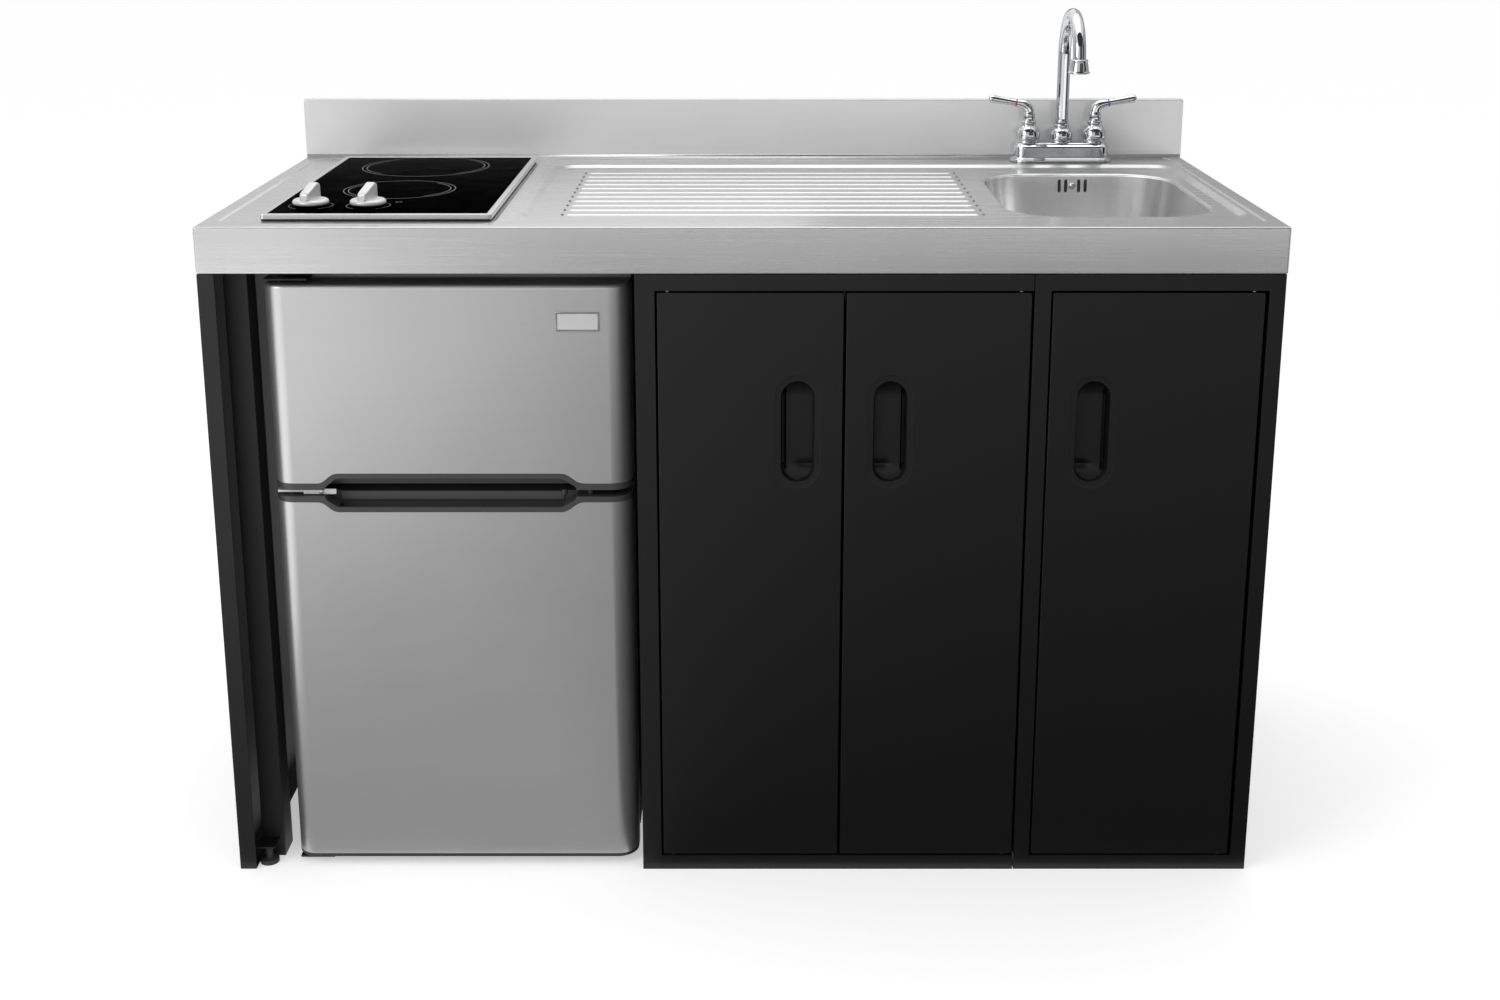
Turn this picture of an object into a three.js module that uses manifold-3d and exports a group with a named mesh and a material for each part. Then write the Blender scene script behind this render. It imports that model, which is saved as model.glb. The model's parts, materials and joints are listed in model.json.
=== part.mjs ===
// Compact kitchenette: a pressed stainless worktop with sink, drainer and two-ring hob,
// a two-door refrigerator in the left bay and black steel cabinets with three hinged doors.
// Millimetres. +X to the right, +Y to the wall, +Z up; the origin is on the floor under the middle.
import * as THREE from 'three';
import { mergeVertices } from 'three/addons/utils/BufferGeometryUtils.js';
import Module from 'manifold-3d';

const wasm = await Module();
wasm.setup();

// ---------------------------------------------------------------- driving dimensions
const WIDTH = 1372;
const DEPTH = 610;
const COUNTER = 889;
const APRON = 60;
const SPLASH_TOP = 981;
const FRONT = -DEPTH / 2;
const BACK = DEPTH / 2;
const GAP = 0.3;
const GRID = 256;
const MERGE_FLAT = 0.01;

const WORKTOP = { sheet: 2, lip: 18, cornerR: 3 };
const SHALLOW_Z = 887.2;
const FIELD_Z = 882;
const HOB_FIELD = { x: [-668, -312], y: [-281, 293], top: COUNTER, floor: SHALLOW_Z, slope: 4, r: 26 };
const WET_FIELD = { x: [-298, 668], y: [-281, 297.5], top: COUNTER, floor: SHALLOW_Z, slope: 4, r: 26 };
const SINK_FIELD = { x: [-290, 666], y: [-235, 238], top: SHALLOW_Z, floor: FIELD_Z, slope: 12, r: 40 };
const DRAINER = { ribs: 11, pitch: 35.5, firstY: -178, x: [-233, 313], foot: 7, crown: 3, height: 3.2 };
const SPLASH = { y: 298, sheet: 2, cornerR: 8 };

const BOWL = { x: [354, 629], y: [-188, 173], r: 75, floor: 739.5, sheet: 1.5, flange: 12 };
const DRAIN = { x: 492, y: -8, hole: 43 };
const OVERFLOW = { x: 495, z: 864, slot: [4.5, 19], offsets: [-19.6, -9.8, 9.8, 19.6] };

const FAUCET = { x: 492, y: 269, base: [158, 48], centres: 51, hubTop: 946, bonnetTop: 956 };
const SHANK_R = 10.2;
const SPOUT = { r: 10, reach: 129, top: 1126, outlet: 1035, tail: 4 };
const LEVER = { reach: 65, r: 5.5, rise: 984 };

const HOB = { x: [-615, -319], y: [-255, 257], top: 896.3, foot: SHALLOW_Z + GAP, border: 7.5 };
const HOB_BOX = { x: [-597, -337], y: [-237, 239], floor: 836, sheet: 1.2 };
const RINGS = { x: -473, rear: { y: 154, r: 80 }, front: { y: -55, r: 65 } };
const KNOB = { xs: { left: -565, right: -490 }, y: -185, r: 23.5, z: 897.8, skirt: 8, top: 926, grip: 12 };

const CABINET = { top: COUNTER - APRON - GAP, sheet: 1.5, front: FRONT + GAP, back: BACK - GAP };
const RAIL = { top: 807.6, bottom: 20.5, depth: 17.5 };
const DOUBLE = { x: [-135.5, 367.4], opening: [-110.3, 367.4] };
const SINGLE = { x: [368.7, 684], opening: [389.5, 664] };
const DOOR = { z: [23, 805], thick: 16, skin: 1.2, pivotIn: 13, pivotBack: 8, pin: 3 };
const DOORS = {
  left: { x: [-107.5, 128.6], hinge: 'left', cup: 71 },
  middle: { x: [131.9, 365.6], hinge: 'right', cup: 189.5 },
  right: { x: [392, 659.5], hinge: 'right', cup: 448.7 },
};
const CUP = { z: 622, open: [42, 134], depth: 13.5 };

const END_PANEL = { x: [-685, -663], sheet: 1.5 };
const POST = { x: [-662.7, -632], y: [-269, -229] };
const PANEL_FOOT = { x: -650, y: -284, r: 13, height: 6, stem: 5, bracket: 27 };

const FRIDGE = { x: [-610, -143], y: [-231, 210], z: [28, 816], shell: 1.2 };
const MACHINE = { y: 95, z: 200 };
const FREEZER_CAVITY = { x: [-563, -190], y: 150, z: [565, 772] };
const FRIDGE_CAVITY = { x: [-571, -182], y: 165, z: [72, 505], humpY: 50, humpZ: 245 };
const FDOOR = { y: [-293, -243], r: 28, skin: 1.2, pivot: [-590, -271] };
const FREEZER_DOOR = { z: [540, 812], steel: 549 };
const FRIDGE_DOOR = { z: [12, 531], steel: 523, kick: 17 };
const FRIDGE_FEET = {
  xs: { left: -585, right: -168 }, frontY: -150, rearY: 185, r: 14, rearR: 10, stem: 5,
};
const GLASS_SHELF = { x: [-570, -183], y: [-140, 160], z: 330, pane: 4 };
const CRISPER = { x: [-562, -191], y: [-140, 44], top: 240, wall: 2.5 };
const BIN = { x: [-556.7, -197.3], back: -160, wall: 2.5, upper: [330, 392], lower: [90, 162] };
const THERMOSTAT = { left: -226, y: [-60, 80], z: [438, 498], dialX: -204, dialZ: 468, dialR: 15 };
const HINGE = { left: -607, right: -560, front: -284, back: -176, plate: 2.7, pin: 4, middlePin: 3.5 };
const SCOOP = { wide: [-547, -211], narrow: [-531, -230], rise: 13.5, lip: 7, pocket: [-289, -266] };

// ---------------------------------------------------------------- finishes
function finish(color, roughness, metalness) {
  return () => new THREE.MeshStandardMaterial({ color, roughness, metalness });
}
const brushed = finish(0xc9cbcc, 0.35, 1);
const bowlSteel = finish(0xb4b6b8, 0.3, 1);
const chrome = finish(0xe6e8ea, 0.08, 1);
const doorSteel = finish(0xa9abad, 0.38, 0.9);
const blackPaint = finish(0x1b1b1d, 0.55, 0.1);
const blackPlastic = finish(0x2b2c2e, 0.5, 0);
const whitePlastic = finish(0xe9eaea, 0.4, 0);
const foamYellow = finish(0xe2cf9a, 0.9, 0);
const darkGlass = finish(0x111214, 0.08, 0);
const clearGlass = finish(0xcfd9d8, 0.05, 0);
const silver = finish(0xdadbdc, 0.3, 0.4);
const zinc = finish(0x9a9da0, 0.45, 1);
const rubber = finish(0x3a3b3d, 0.8, 0);

// ---------------------------------------------------------------- solid helpers
const mid = ([a, b]) => (a + b) / 2;
const span = ([a, b]) => b - a;
const grow = ([a, b], by) => [a - by, b + by];

function signedVolume(position, triangles) {
  const corner = [new THREE.Vector3(), new THREE.Vector3(), new THREE.Vector3()];
  let six = 0;
  for (let i = 0; i < triangles.length; i += 3) {
    corner.forEach((point, k) => point.fromBufferAttribute(position, triangles[i + k]));
    six += corner[0].dot(corner[1].clone().cross(corner[2]));
  }
  return six;
}

// A closed three.js geometry as a manifold solid with its faces pointing out. Its points sit on
// a fine grid, so that faces meant to be flush are flush to the last digit.
function toSolid(geometry) {
  const bare = geometry.index ? geometry.toNonIndexed() : geometry.clone();
  bare.deleteAttribute('normal');
  bare.deleteAttribute('uv');
  const raw = bare.attributes.position.array;
  raw.forEach((value, i) => {
    raw[i] = Math.round(value * GRID) / GRID;
  });
  const merged = mergeVertices(bare, 1e-4);
  const index = merged.index.array;
  const triangles = [];
  for (let i = 0; i < index.length; i += 3) {
    const [a, b, c] = [index[i], index[i + 1], index[i + 2]];
    if (a !== b && b !== c && c !== a) triangles.push(a, b, c);
  }
  if (signedVolume(merged.attributes.position, triangles) < 0) triangles.reverse();
  return new wasm.Manifold(new wasm.Mesh({
    numProp: 3,
    vertProperties: new Float32Array(merged.attributes.position.array),
    triVerts: new Uint32Array(triangles),
  }));
}

// Flat faces that were cut or joined in strips come back whole, within a hundredth of a millimetre.
function toGeometry(solid) {
  const mesh = solid.asOriginal().simplify(MERGE_FLAT).getMesh();
  const geometry = new THREE.BufferGeometry();
  geometry.setAttribute('position', new THREE.BufferAttribute(mesh.vertProperties, 3));
  geometry.setIndex(new THREE.BufferAttribute(mesh.triVerts, 1));
  geometry.computeVertexNormals();
  return geometry;
}

function box(xs, ys, zs) {
  const geometry = new THREE.BoxGeometry(span(xs), span(ys), span(zs));
  geometry.translate(mid(xs), mid(ys), mid(zs));
  return toSolid(geometry);
}

function join(solids) {
  return solids.reduce((whole, solid) => whole.add(solid));
}

function cut(solid, tools) {
  return tools.reduce((rest, tool) => rest.subtract(tool), solid);
}

function polygon(points) {
  return new THREE.Shape(points.map(([x, y]) => new THREE.Vector2(x, y)));
}

function extrude(shape, depth, curveSegments) {
  return new THREE.ExtrudeGeometry(shape, { depth, bevelEnabled: false, curveSegments });
}

// Prisms: the outline lies in XY, XZ or YZ and runs along the axis in the name.
function prismZ(shape, zs, curveSegments = 6) {
  return toSolid(extrude(shape, span(zs), curveSegments).translate(0, 0, zs[0]));
}

function prismY(shape, ys, curveSegments = 6) {
  return toSolid(extrude(shape, span(ys), curveSegments).rotateX(Math.PI / 2).translate(0, ys[1], 0));
}

function prismX(shape, xs, curveSegments = 6) {
  const turn = new THREE.Matrix4().set(0, 0, 1, 0, 1, 0, 0, 0, 0, 1, 0, 0, 0, 0, 0, 1);
  return toSolid(extrude(shape, span(xs), curveSegments).applyMatrix4(turn).translate(xs[0], 0, 0));
}

// A body of revolution about a vertical axis; the profile is [radius, height] and closes on
// itself or on the axis.
function turned(profile, x = 0, y = 0, segments = 20) {
  const points = profile.map(([r, z]) => new THREE.Vector2(r, z));
  return toSolid(new THREE.LatheGeometry(points, segments).rotateX(Math.PI / 2).translate(x, y, 0));
}

function ring(inner, outer, zs, x = 0, y = 0, segments = 20) {
  const [low, high] = zs;
  const profile = [[inner, low], [outer, low], [outer, high], [inner, high], [inner, low]];
  return turned(profile, x, y, segments);
}

function rod(r, zs, x = 0, y = 0, segments = 12) {
  return turned([[0, zs[0]], [r, zs[0]], [r, zs[1]], [0, zs[1]]], x, y, segments);
}

function circle(r) {
  return new THREE.Shape().absarc(0, 0, r, 0, Math.PI * 2, false);
}

function tube(points, r, steps, sides = 8) {
  const path = new THREE.CatmullRomCurve3(points.map((p) => new THREE.Vector3(...p)));
  const options = { steps, extrudePath: path, bevelEnabled: false, curveSegments: sides / 2 };
  return toSolid(new THREE.ExtrudeGeometry(circle(r), options));
}

function roundedRect(xs, ys, r) {
  const corners = [
    [xs[1] - r, ys[0] + r], [xs[1] - r, ys[1] - r], [xs[0] + r, ys[1] - r], [xs[0] + r, ys[0] + r],
  ];
  const shape = new THREE.Shape();
  corners.forEach(([x, y], i) => {
    shape.absarc(x, y, r, (i - 1) * Math.PI / 2, i * Math.PI / 2, false);
  });
  return shape;
}

// One level outline of a loft: a rounded rectangle as points, the same count for each call.
function outline(xs, ys, r, z, perCorner = 6) {
  const centres = [
    [xs[1] - r, ys[0] + r], [xs[1] - r, ys[1] - r], [xs[0] + r, ys[1] - r], [xs[0] + r, ys[0] + r],
  ];
  const points = [];
  centres.forEach(([x, y], corner) => {
    for (let step = 0; step <= perCorner; step += 1) {
      const angle = (corner - 1 + step / perCorner) * Math.PI / 2;
      points.push([x + r * Math.cos(angle), y + r * Math.sin(angle), z]);
    }
  });
  return points;
}

// Closed skin through level outlines, listed from the bottom up, with flat ends.
function loft(levels) {
  const count = levels[0].length;
  const vertices = levels.flat();
  const faces = [];
  for (let level = 0; level + 1 < levels.length; level += 1) {
    for (let i = 0; i < count; i += 1) {
      const a = level * count + i;
      const b = level * count + ((i + 1) % count);
      faces.push(a, b, b + count, a, b + count, a + count);
    }
  }
  const top = (levels.length - 1) * count;
  for (let i = 1; i + 1 < count; i += 1) {
    faces.push(0, i + 1, i, top, top + i, top + i + 1);
  }
  const geometry = new THREE.BufferGeometry();
  geometry.setAttribute('position', new THREE.BufferAttribute(new Float32Array(vertices.flat()), 3));
  geometry.setIndex(faces);
  return toSolid(geometry);
}

// ---------------------------------------------------------------- scene graph
const kitchenette = new THREE.Group();

// The group of one moving piece, placed at its hinge or slide point.
function movingGroup(x, y, z) {
  const group = new THREE.Group();
  group.position.set(x, y, z);
  kitchenette.add(group);
  return group;
}

// Solids are modelled where they stand; in a moving group they are stored from its own point.
function addPart(name, solid, material, group = kitchenette) {
  const { x, y, z } = group.position;
  const mesh = new THREE.Mesh(toGeometry(solid.translate([-x, -y, -z])), material());
  mesh.name = name;
  group.add(mesh);
}

// ---------------------------------------------------------------- worktop and backsplash
// A pressed recess; drop and wider move it down and out to give the underside of the sheet.
function recess(field, drop = 0, wider = 0) {
  const above = COUNTER + 5;
  const low = field.slope - wider;
  const floor = outline(grow(field.x, -low), grow(field.y, -low), field.r - low, field.floor - drop);
  const brim = outline(grow(field.x, wider), grow(field.y, wider), field.r + wider, field.top - drop);
  const open = outline(grow(field.x, wider), grow(field.y, wider), field.r + wider, above);
  return loft([floor, brim, open]);
}

function drainerRibs() {
  const bed = FIELD_Z - WORKTOP.sheet / 2;
  return Array.from({ length: DRAINER.ribs }, (_, i) => {
    const y = DRAINER.firstY + i * DRAINER.pitch;
    const level = (half, z) => {
      const inset = DRAINER.foot - half;
      return outline(grow(DRAINER.x, -inset), [y - half, y + half], half / 2, z, 1);
    };
    return loft([level(DRAINER.foot, bed), level(DRAINER.crown, FIELD_Z + DRAINER.height)]);
  });
}

function worktop() {
  const fields = [HOB_FIELD, WET_FIELD, SINK_FIELD];
  const xs = [-WIDTH / 2, WIDTH / 2];
  const ys = [FRONT, BACK];
  const bottom = COUNTER - APRON;
  const { sheet, lip, cornerR } = WORKTOP;
  const block = prismZ(roundedRect(xs, ys, cornerR), [bottom, COUNTER], 3);
  const skin = cut(block, fields.map((field) => recess(field)));
  const inside = box(grow(xs, -sheet), grow(ys, -sheet), [bottom - 1, COUNTER - sheet]);
  const hollow = cut(inside, fields.map((field) => recess(field, sheet, sheet)));
  const returns = cut(
    box(grow(xs, -1), grow(ys, -1), [bottom, bottom + sheet]),
    [box(grow(xs, -lip), grow(ys, -lip), [bottom - 1, bottom + sheet + 1])],
  );
  const through = [COUNTER - 30, COUNTER + 10];
  const hobRoom = 6;
  const hobCutout = box(grow(HOB_BOX.x, hobRoom), grow(HOB_BOX.y, hobRoom), through);
  const bowlCutout = prismZ(roundedRect(BOWL.x, BOWL.y, BOWL.r), through);
  const shankHoles = [-1, 1].map(
    (side) => rod(SHANK_R + 3.8, through, FAUCET.x + side * FAUCET.centres, FAUCET.y),
  );
  const sheetMetal = join([skin.subtract(hollow), returns, ...drainerRibs()]);
  return cut(sheetMetal, [hobCutout, bowlCutout, ...shankHoles]);
}

function backsplash() {
  const xs = [-WIDTH / 2, WIDTH / 2];
  const zs = [COUNTER + GAP, SPLASH_TOP];
  const { y, sheet, cornerR } = SPLASH;
  const slab = box(xs, [y, BACK], zs);
  const hollow = box(grow(xs, -sheet), [y + sheet, BACK + 1], [zs[0] - 1, zs[1] - sheet]);
  const face = prismY(roundedRect(xs, [zs[0] - 2 * cornerR, zs[1]], cornerR), [y - 1, BACK + 1], 4);
  return slab.subtract(hollow).intersect(face);
}

// Two channels under the drainer, tied by two cross strips.
function stiffeners() {
  const xs = [-270, 330];
  const [front, rear] = [-115, 105];
  const [half, height, sheet] = [16, 18, 1.5];
  const underside = FIELD_Z - WORKTOP.sheet - GAP;
  const channel = (y) => {
    const outer = box(xs, grow([y, y], half), [underside - height, underside]);
    const hollow = [underside - height + sheet, underside + 1];
    return outer.subtract(box(grow(xs, 1), grow([y, y], half - sheet), hollow));
  };
  const strip = (x) => box([x, x + 30], [front, rear], [underside - height, underside - height + sheet]);
  return join([channel(front), channel(rear), strip(xs[0] + 30), strip(xs[1] - 60)]);
}

addPart('worktop', worktop(), brushed);
addPart('backsplash', backsplash(), brushed);
addPart('worktop_stiffeners', stiffeners(), zinc);

// ---------------------------------------------------------------- sink
const BOWL_TOP = FIELD_Z - WORKTOP.sheet - GAP;
const BOWL_WALL = [[45, 0], [28, 5.5], [16, 17.5], [10, 40], [1.5, 132]];

// The bowl's inside as a loft; out grows it by the sheet thickness for the outside.
function bowlVolume(out, top) {
  const level = (inset, z) => {
    const by = out - inset;
    return outline(grow(BOWL.x, by), grow(BOWL.y, by), BOWL.r + by * 0.6, z, 6);
  };
  const wall = BOWL_WALL.map(([inset, rise]) => level(inset, BOWL.floor - out + rise));
  return loft([...wall, level(0, top)]);
}

function sinkBowl() {
  const flangeX = grow(BOWL.x, BOWL.flange);
  const flangeY = grow(BOWL.y, BOWL.flange);
  const flange = prismZ(
    roundedRect(flangeX, flangeY, BOWL.r + BOWL.flange), [BOWL_TOP - BOWL.sheet, BOWL_TOP],
  );
  const outer = bowlVolume(BOWL.sheet, BOWL_TOP).add(flange);
  const mouth = prismZ(roundedRect(BOWL.x, BOWL.y, BOWL.r), [BOWL_TOP - 0.5, COUNTER]);
  const hollow = bowlVolume(0, BOWL_TOP).add(mouth);
  const drain = rod(DRAIN.hole, [BOWL.floor - 10, BOWL.floor + 10], DRAIN.x, DRAIN.y, 20);
  const [slotX, slotZ] = OVERFLOW.slot;
  const slots = OVERFLOW.offsets.map((dx) => box(
    grow([OVERFLOW.x + dx, OVERFLOW.x + dx], slotX / 2),
    [BOWL.y[1] - 12, BOWL.y[1] + 4],
    grow([OVERFLOW.z, OVERFLOW.z], slotZ / 2),
  ));
  return cut(outer, [hollow, drain, ...slots]);
}

function strainerBody() {
  const lip = BOWL.floor + GAP;
  const profile = [
    [42.3, lip], [56, lip], [56, lip + 1.6], [47, lip + 1.6], [40, lip - 1.5], [40, 706], [22, 701],
    [17, 696], [17, 676], [19.5, 676], [19.5, 697], [24, 698.8], [42.3, 704], [42.3, lip],
  ];
  return turned(profile, DRAIN.x, DRAIN.y, 20);
}

function strainerBasket() {
  const profile = [
    [0, 711], [33, 711], [36, 734], [38.8, 736], [38.8, 737.8], [35, 737.8], [31.5, 713.5],
    [4.5, 713.5], [4, 741], [9, 744], [9, 748], [6, 750.5], [0, 750.5],
  ];
  return turned(profile, DRAIN.x, DRAIN.y, 16);
}

function tailpiece() {
  const pipe = ring(16.5, 19, [560, 675.7], DRAIN.x, DRAIN.y, 16);
  const nutSkirt = ring(18.5, 27, [660, 672], DRAIN.x, DRAIN.y, 12);
  const nutCollar = ring(20.6, 27, [671, 690], DRAIN.x, DRAIN.y, 12);
  return join([pipe, nutSkirt, nutCollar]);
}

function overflowPipe() {
  const [xs, ys, zs] = [[465, 525], [BOWL.y[1] + 1.3, 192], [846, 877]];
  const cover = box(xs, ys, zs).subtract(box(grow(xs, -2), [ys[0] - 1, ys[1] - 2], grow(zs, -2)));
  const elbowEnd = DRAIN.y + 19 + GAP;
  const route = [
    [495, 183, 847], [495, 183, 800], [495, 181, 748], [494.5, 158, 702],
    [493.5, 100, 660], [492, 40, 641], [492, elbowEnd, 640],
  ];
  return cover.add(tube(route, 8.5, 16));
}

addPart('sink_bowl', sinkBowl(), bowlSteel);
addPart('strainer_body', strainerBody(), chrome);
const NUT_SEAT = BOWL.floor - BOWL.sheet - GAP;
addPart('strainer_locknut', ring(44.2, 58, [720, NUT_SEAT], DRAIN.x, DRAIN.y, 16), zinc);
addPart('tailpiece', tailpiece(), chrome);
addPart('overflow_pipe', overflowPipe(), whitePlastic);
addPart('strainer_basket', strainerBasket(), chrome, movingGroup(DRAIN.x, DRAIN.y, 711));

// ---------------------------------------------------------------- faucet
function faucetBody() {
  const { x, y, base, centres, hubTop, bonnetTop } = FAUCET;
  const level = (inset, z) => {
    const xs = grow([x, x], base[0] / 2 - inset);
    const ys = grow([y, y], base[1] / 2 - inset);
    return outline(xs, ys, base[1] / 2 - inset, z, 4);
  };
  const foot = SHALLOW_Z + GAP;
  const steps = [
    [0, foot], [0, foot + 4], [4.5, foot + 8], [5.5, foot + 24], [9, foot + 29], [12, foot + 30.5],
  ];
  const plate = loft(steps.map(([inset, z]) => level(inset, z)));
  const bonnet = (dx) => turned([
    [0, 912], [18, 912], [18.4, 922], [17.2, 932], [11, 940], [8, 942], [8, 946],
    [9.5, 948], [9.5, bonnetTop], [0, bonnetTop],
  ], x + dx, y, 12);
  const hub = turned([
    [0, 912], [17, 912], [17.4, 924], [16, 933], [11.5, 939], [11.5, hubTop], [0, hubTop],
  ], x, y, 12);
  const shank = (dx) => rod(SHANK_R, [838, foot + 1], x + dx, y);
  return join([plate, bonnet(-centres), hub, bonnet(centres), shank(-centres), shank(centres)]);
}

function spout() {
  const { r, reach, top } = SPOUT;
  const bend = reach / 2;
  const bendZ = top - r - bend;
  const riser = [FAUCET.hubTop + GAP, 985, 1020].map((z) => [FAUCET.x, FAUCET.y, z]);
  const turns = 8;
  const arch = Array.from({ length: turns + 1 }, (_, i) => {
    const angle = Math.PI * i / turns;
    return [FAUCET.x, FAUCET.y - bend + bend * Math.cos(angle), bendZ + bend * Math.sin(angle)];
  });
  const end = [FAUCET.x, FAUCET.y - reach, bendZ - SPOUT.tail];
  return tube([...riser, ...arch, end], r, 26, 8);
}

function aerator() {
  const { reach, top, r, outlet, tail } = SPOUT;
  const high = top - r - reach / 2 - tail - GAP;
  const profile = [
    [9, outlet], [16, outlet], [16, outlet + 2.5], [13.5, high],
    [0, high], [0, high - 3], [9, high - 5], [9, outlet],
  ];
  return turned(profile, FAUCET.x, FAUCET.y - reach, 12);
}

// side is -1 for the hot lever and 1 for the cold one; the lever points away from the spout.
function lever(side) {
  const x = FAUCET.x + side * FAUCET.centres;
  const base = FAUCET.bonnetTop + GAP;
  const collar = rod(8.7, [base, base + 5], x, FAUCET.y, 12);
  const reachTo = (out, z) => [x + side * out, FAUCET.y, z];
  const arm = tube([
    reachTo(0, base + 2), reachTo(0.6, base + 10), reachTo(6, base + 17), reachTo(15, base + 19.5),
    reachTo(38, LEVER.rise - 4), reachTo(LEVER.reach - 3, LEVER.rise),
  ], LEVER.r, 12);
  const tip = new THREE.SphereGeometry(6.2, 8, 6).translate(...reachTo(LEVER.reach - 5, LEVER.rise - 0.4));
  return join([collar, arm, toSolid(tip)]);
}

// The plate and nuts that hold the faucet from below the ledge.
function clampPlate() {
  const { x, y, base, centres } = FAUCET;
  const high = SHALLOW_Z - WORKTOP.sheet - GAP;
  const [sheet, nutR, nutHeight] = [2.5, 17, 12];
  const plate = box(grow([x, x], base[0] / 2 - 7), grow([y, y], base[1] / 2 - 4), [high - sheet, high]);
  const nutZ = [high - 2 - nutHeight, high - 2];
  const nuts = [-1, 1].map((side) => rod(nutR, nutZ, x + side * centres, y, 6));
  const bores = [-1, 1].map((side) => rod(SHANK_R + 0.4, [high - 20, high + 1], x + side * centres, y));
  return cut(join([plate, ...nuts]), bores);
}

addPart('faucet_body', faucetBody(), chrome);
addPart('faucet_clamp_plate', clampPlate(), zinc);
const spoutGroup = movingGroup(FAUCET.x, FAUCET.y, FAUCET.hubTop);
addPart('spout', spout(), chrome, spoutGroup);
addPart('aerator', aerator(), chrome, spoutGroup);
for (const [name, side] of [['hot_handle', -1], ['cold_handle', 1]]) {
  const x = FAUCET.x + side * FAUCET.centres;
  addPart(name, lever(side), chrome, movingGroup(x, FAUCET.y, FAUCET.bonnetTop));
}

// ---------------------------------------------------------------- hob
const GLASS = { bottom: 891.7, top: 895.7 };

function hobFrame() {
  const rim = prismZ(roundedRect(HOB.x, HOB.y, 5), [889.8, HOB.top], 3);
  const foot = box(grow(HOB.x, -5), grow(HOB.y, -5), [HOB.foot, 890]);
  const rebate = box(grow(HOB.x, -HOB.border), grow(HOB.y, -HOB.border), [GLASS.bottom - GAP, HOB.top + 1]);
  const opening = box(grow(HOB_BOX.x, GAP), grow(HOB_BOX.y, GAP), [HOB.foot - 1, HOB.top]);
  return cut(rim.add(foot), [rebate, opening]);
}

function hobGlass() {
  const inset = HOB.border + GAP;
  const pane = box(grow(HOB.x, -inset), grow(HOB.y, -inset), [GLASS.bottom, GLASS.top]);
  const holes = Object.values(KNOB.xs).map((x) => rod(6, [GLASS.bottom - 1, GLASS.top + 1], x, KNOB.y));
  return cut(pane, holes);
}

function burnerBox() {
  const { x, y, floor, sheet } = HOB_BOX;
  const outer = box(x, y, [floor, GLASS.bottom - GAP]);
  return outer.subtract(box(grow(x, -sheet), grow(y, -sheet), [floor + sheet, GLASS.top]));
}

function element({ y, r }) {
  const floor = HOB_BOX.floor + HOB_BOX.sheet + GAP;
  const profile = [
    [0, floor], [24, floor], [24, 862], [r, 862], [r, 890], [r - 5, 890], [r - 5, 872], [0, 872],
  ];
  return turned(profile, RINGS.x, y, 24);
}

function hobControls() {
  const floor = HOB_BOX.floor + HOB_BOX.sheet + GAP;
  const { left, right } = KNOB.xs;
  const bracket = box([left - 24, right + 24], [KNOB.y - 24, KNOB.y + 24], [floor, floor + 2]);
  const switches = [left, right].flatMap((x) => [
    box([x - 20, x + 20], [KNOB.y - 20, KNOB.y + 20], [floor + 1, 884]),
    rod(3, [883, 904], x, KNOB.y, 10),
  ]);
  return join([bracket, ...switches]);
}

function hobKnob(x) {
  const { y, r, z, skirt, top, grip } = KNOB;
  const dish = turned([[0, z], [r, z], [r, z + 3], [r - 3, z + skirt], [0, z + skirt + 1]], x, y, 24);
  const side = polygon([
    [y - r + 3, z + skirt - 2], [y + r - 3, z + skirt - 2], [y + r - 5, top], [y - r + 10, top - 2],
  ]);
  const bar = prismX(side, [x - grip / 2, x + grip / 2]);
  return dish.add(bar).subtract(rod(3.4, [z - 1, z + 7.5], x, y, 10));
}

addPart('hob_frame', hobFrame(), silver);
addPart('hob_glass', hobGlass(), darkGlass);
addPart('hob_burner_box', burnerBox(), zinc);
addPart('hob_element_rear', element(RINGS.rear), zinc);
addPart('hob_element_front', element(RINGS.front), zinc);
addPart('hob_controls', hobControls(), blackPlastic);
for (const [side, x] of Object.entries(KNOB.xs)) {
  addPart(`hob_knob_${side}`, hobKnob(x), silver, movingGroup(x, KNOB.y, KNOB.z));
}

// ---------------------------------------------------------------- left end of the bay
function endPanel() {
  const { x, sheet } = END_PANEL;
  const ys = [CABINET.front, CABINET.back];
  const zs = [0, CABINET.top];
  const slab = box(x, ys, zs);
  const hollow = box([x[0] + sheet, x[1] + 1], grow(ys, -sheet), grow(zs, -sheet));
  const { bracket } = PANEL_FOOT;
  const footPlate = box(
    [x[0] + sheet / 2, -638], grow([PANEL_FOOT.y, PANEL_FOOT.y], 14), [bracket, bracket + sheet],
  );
  return slab.subtract(hollow).add(footPlate);
}

function bayPost() {
  const { x, y } = POST;
  const zs = [0, CABINET.top];
  const sheet = END_PANEL.sheet;
  return box(x, y, zs).subtract(box(grow(x, -sheet), [y[0] + sheet, y[1] + 1], grow(zs, 1)));
}

function panelFoot() {
  const { x, y, r, height, stem, bracket } = PANEL_FOOT;
  return join([rod(r, [0, height], x, y, 16), rod(stem, [height - 1, bracket - GAP], x, y, 10)]);
}

function rearRail() {
  const xs = [POST.x[0], DOUBLE.x[0] - GAP];
  const [ys, zs] = [[286, CABINET.back], [788, CABINET.top]];
  const hollow = box(grow(xs, 1), [ys[0] - 1, ys[1] - CABINET.sheet], grow(zs, -2));
  return box(xs, ys, zs).subtract(hollow);
}

addPart('left_end_panel', endPanel(), blackPaint);
addPart('left_panel_foot', panelFoot(), rubber);
addPart('bay_post', bayPost(), blackPaint);
addPart('bay_rear_rail', rearRail(), blackPaint);

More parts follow.
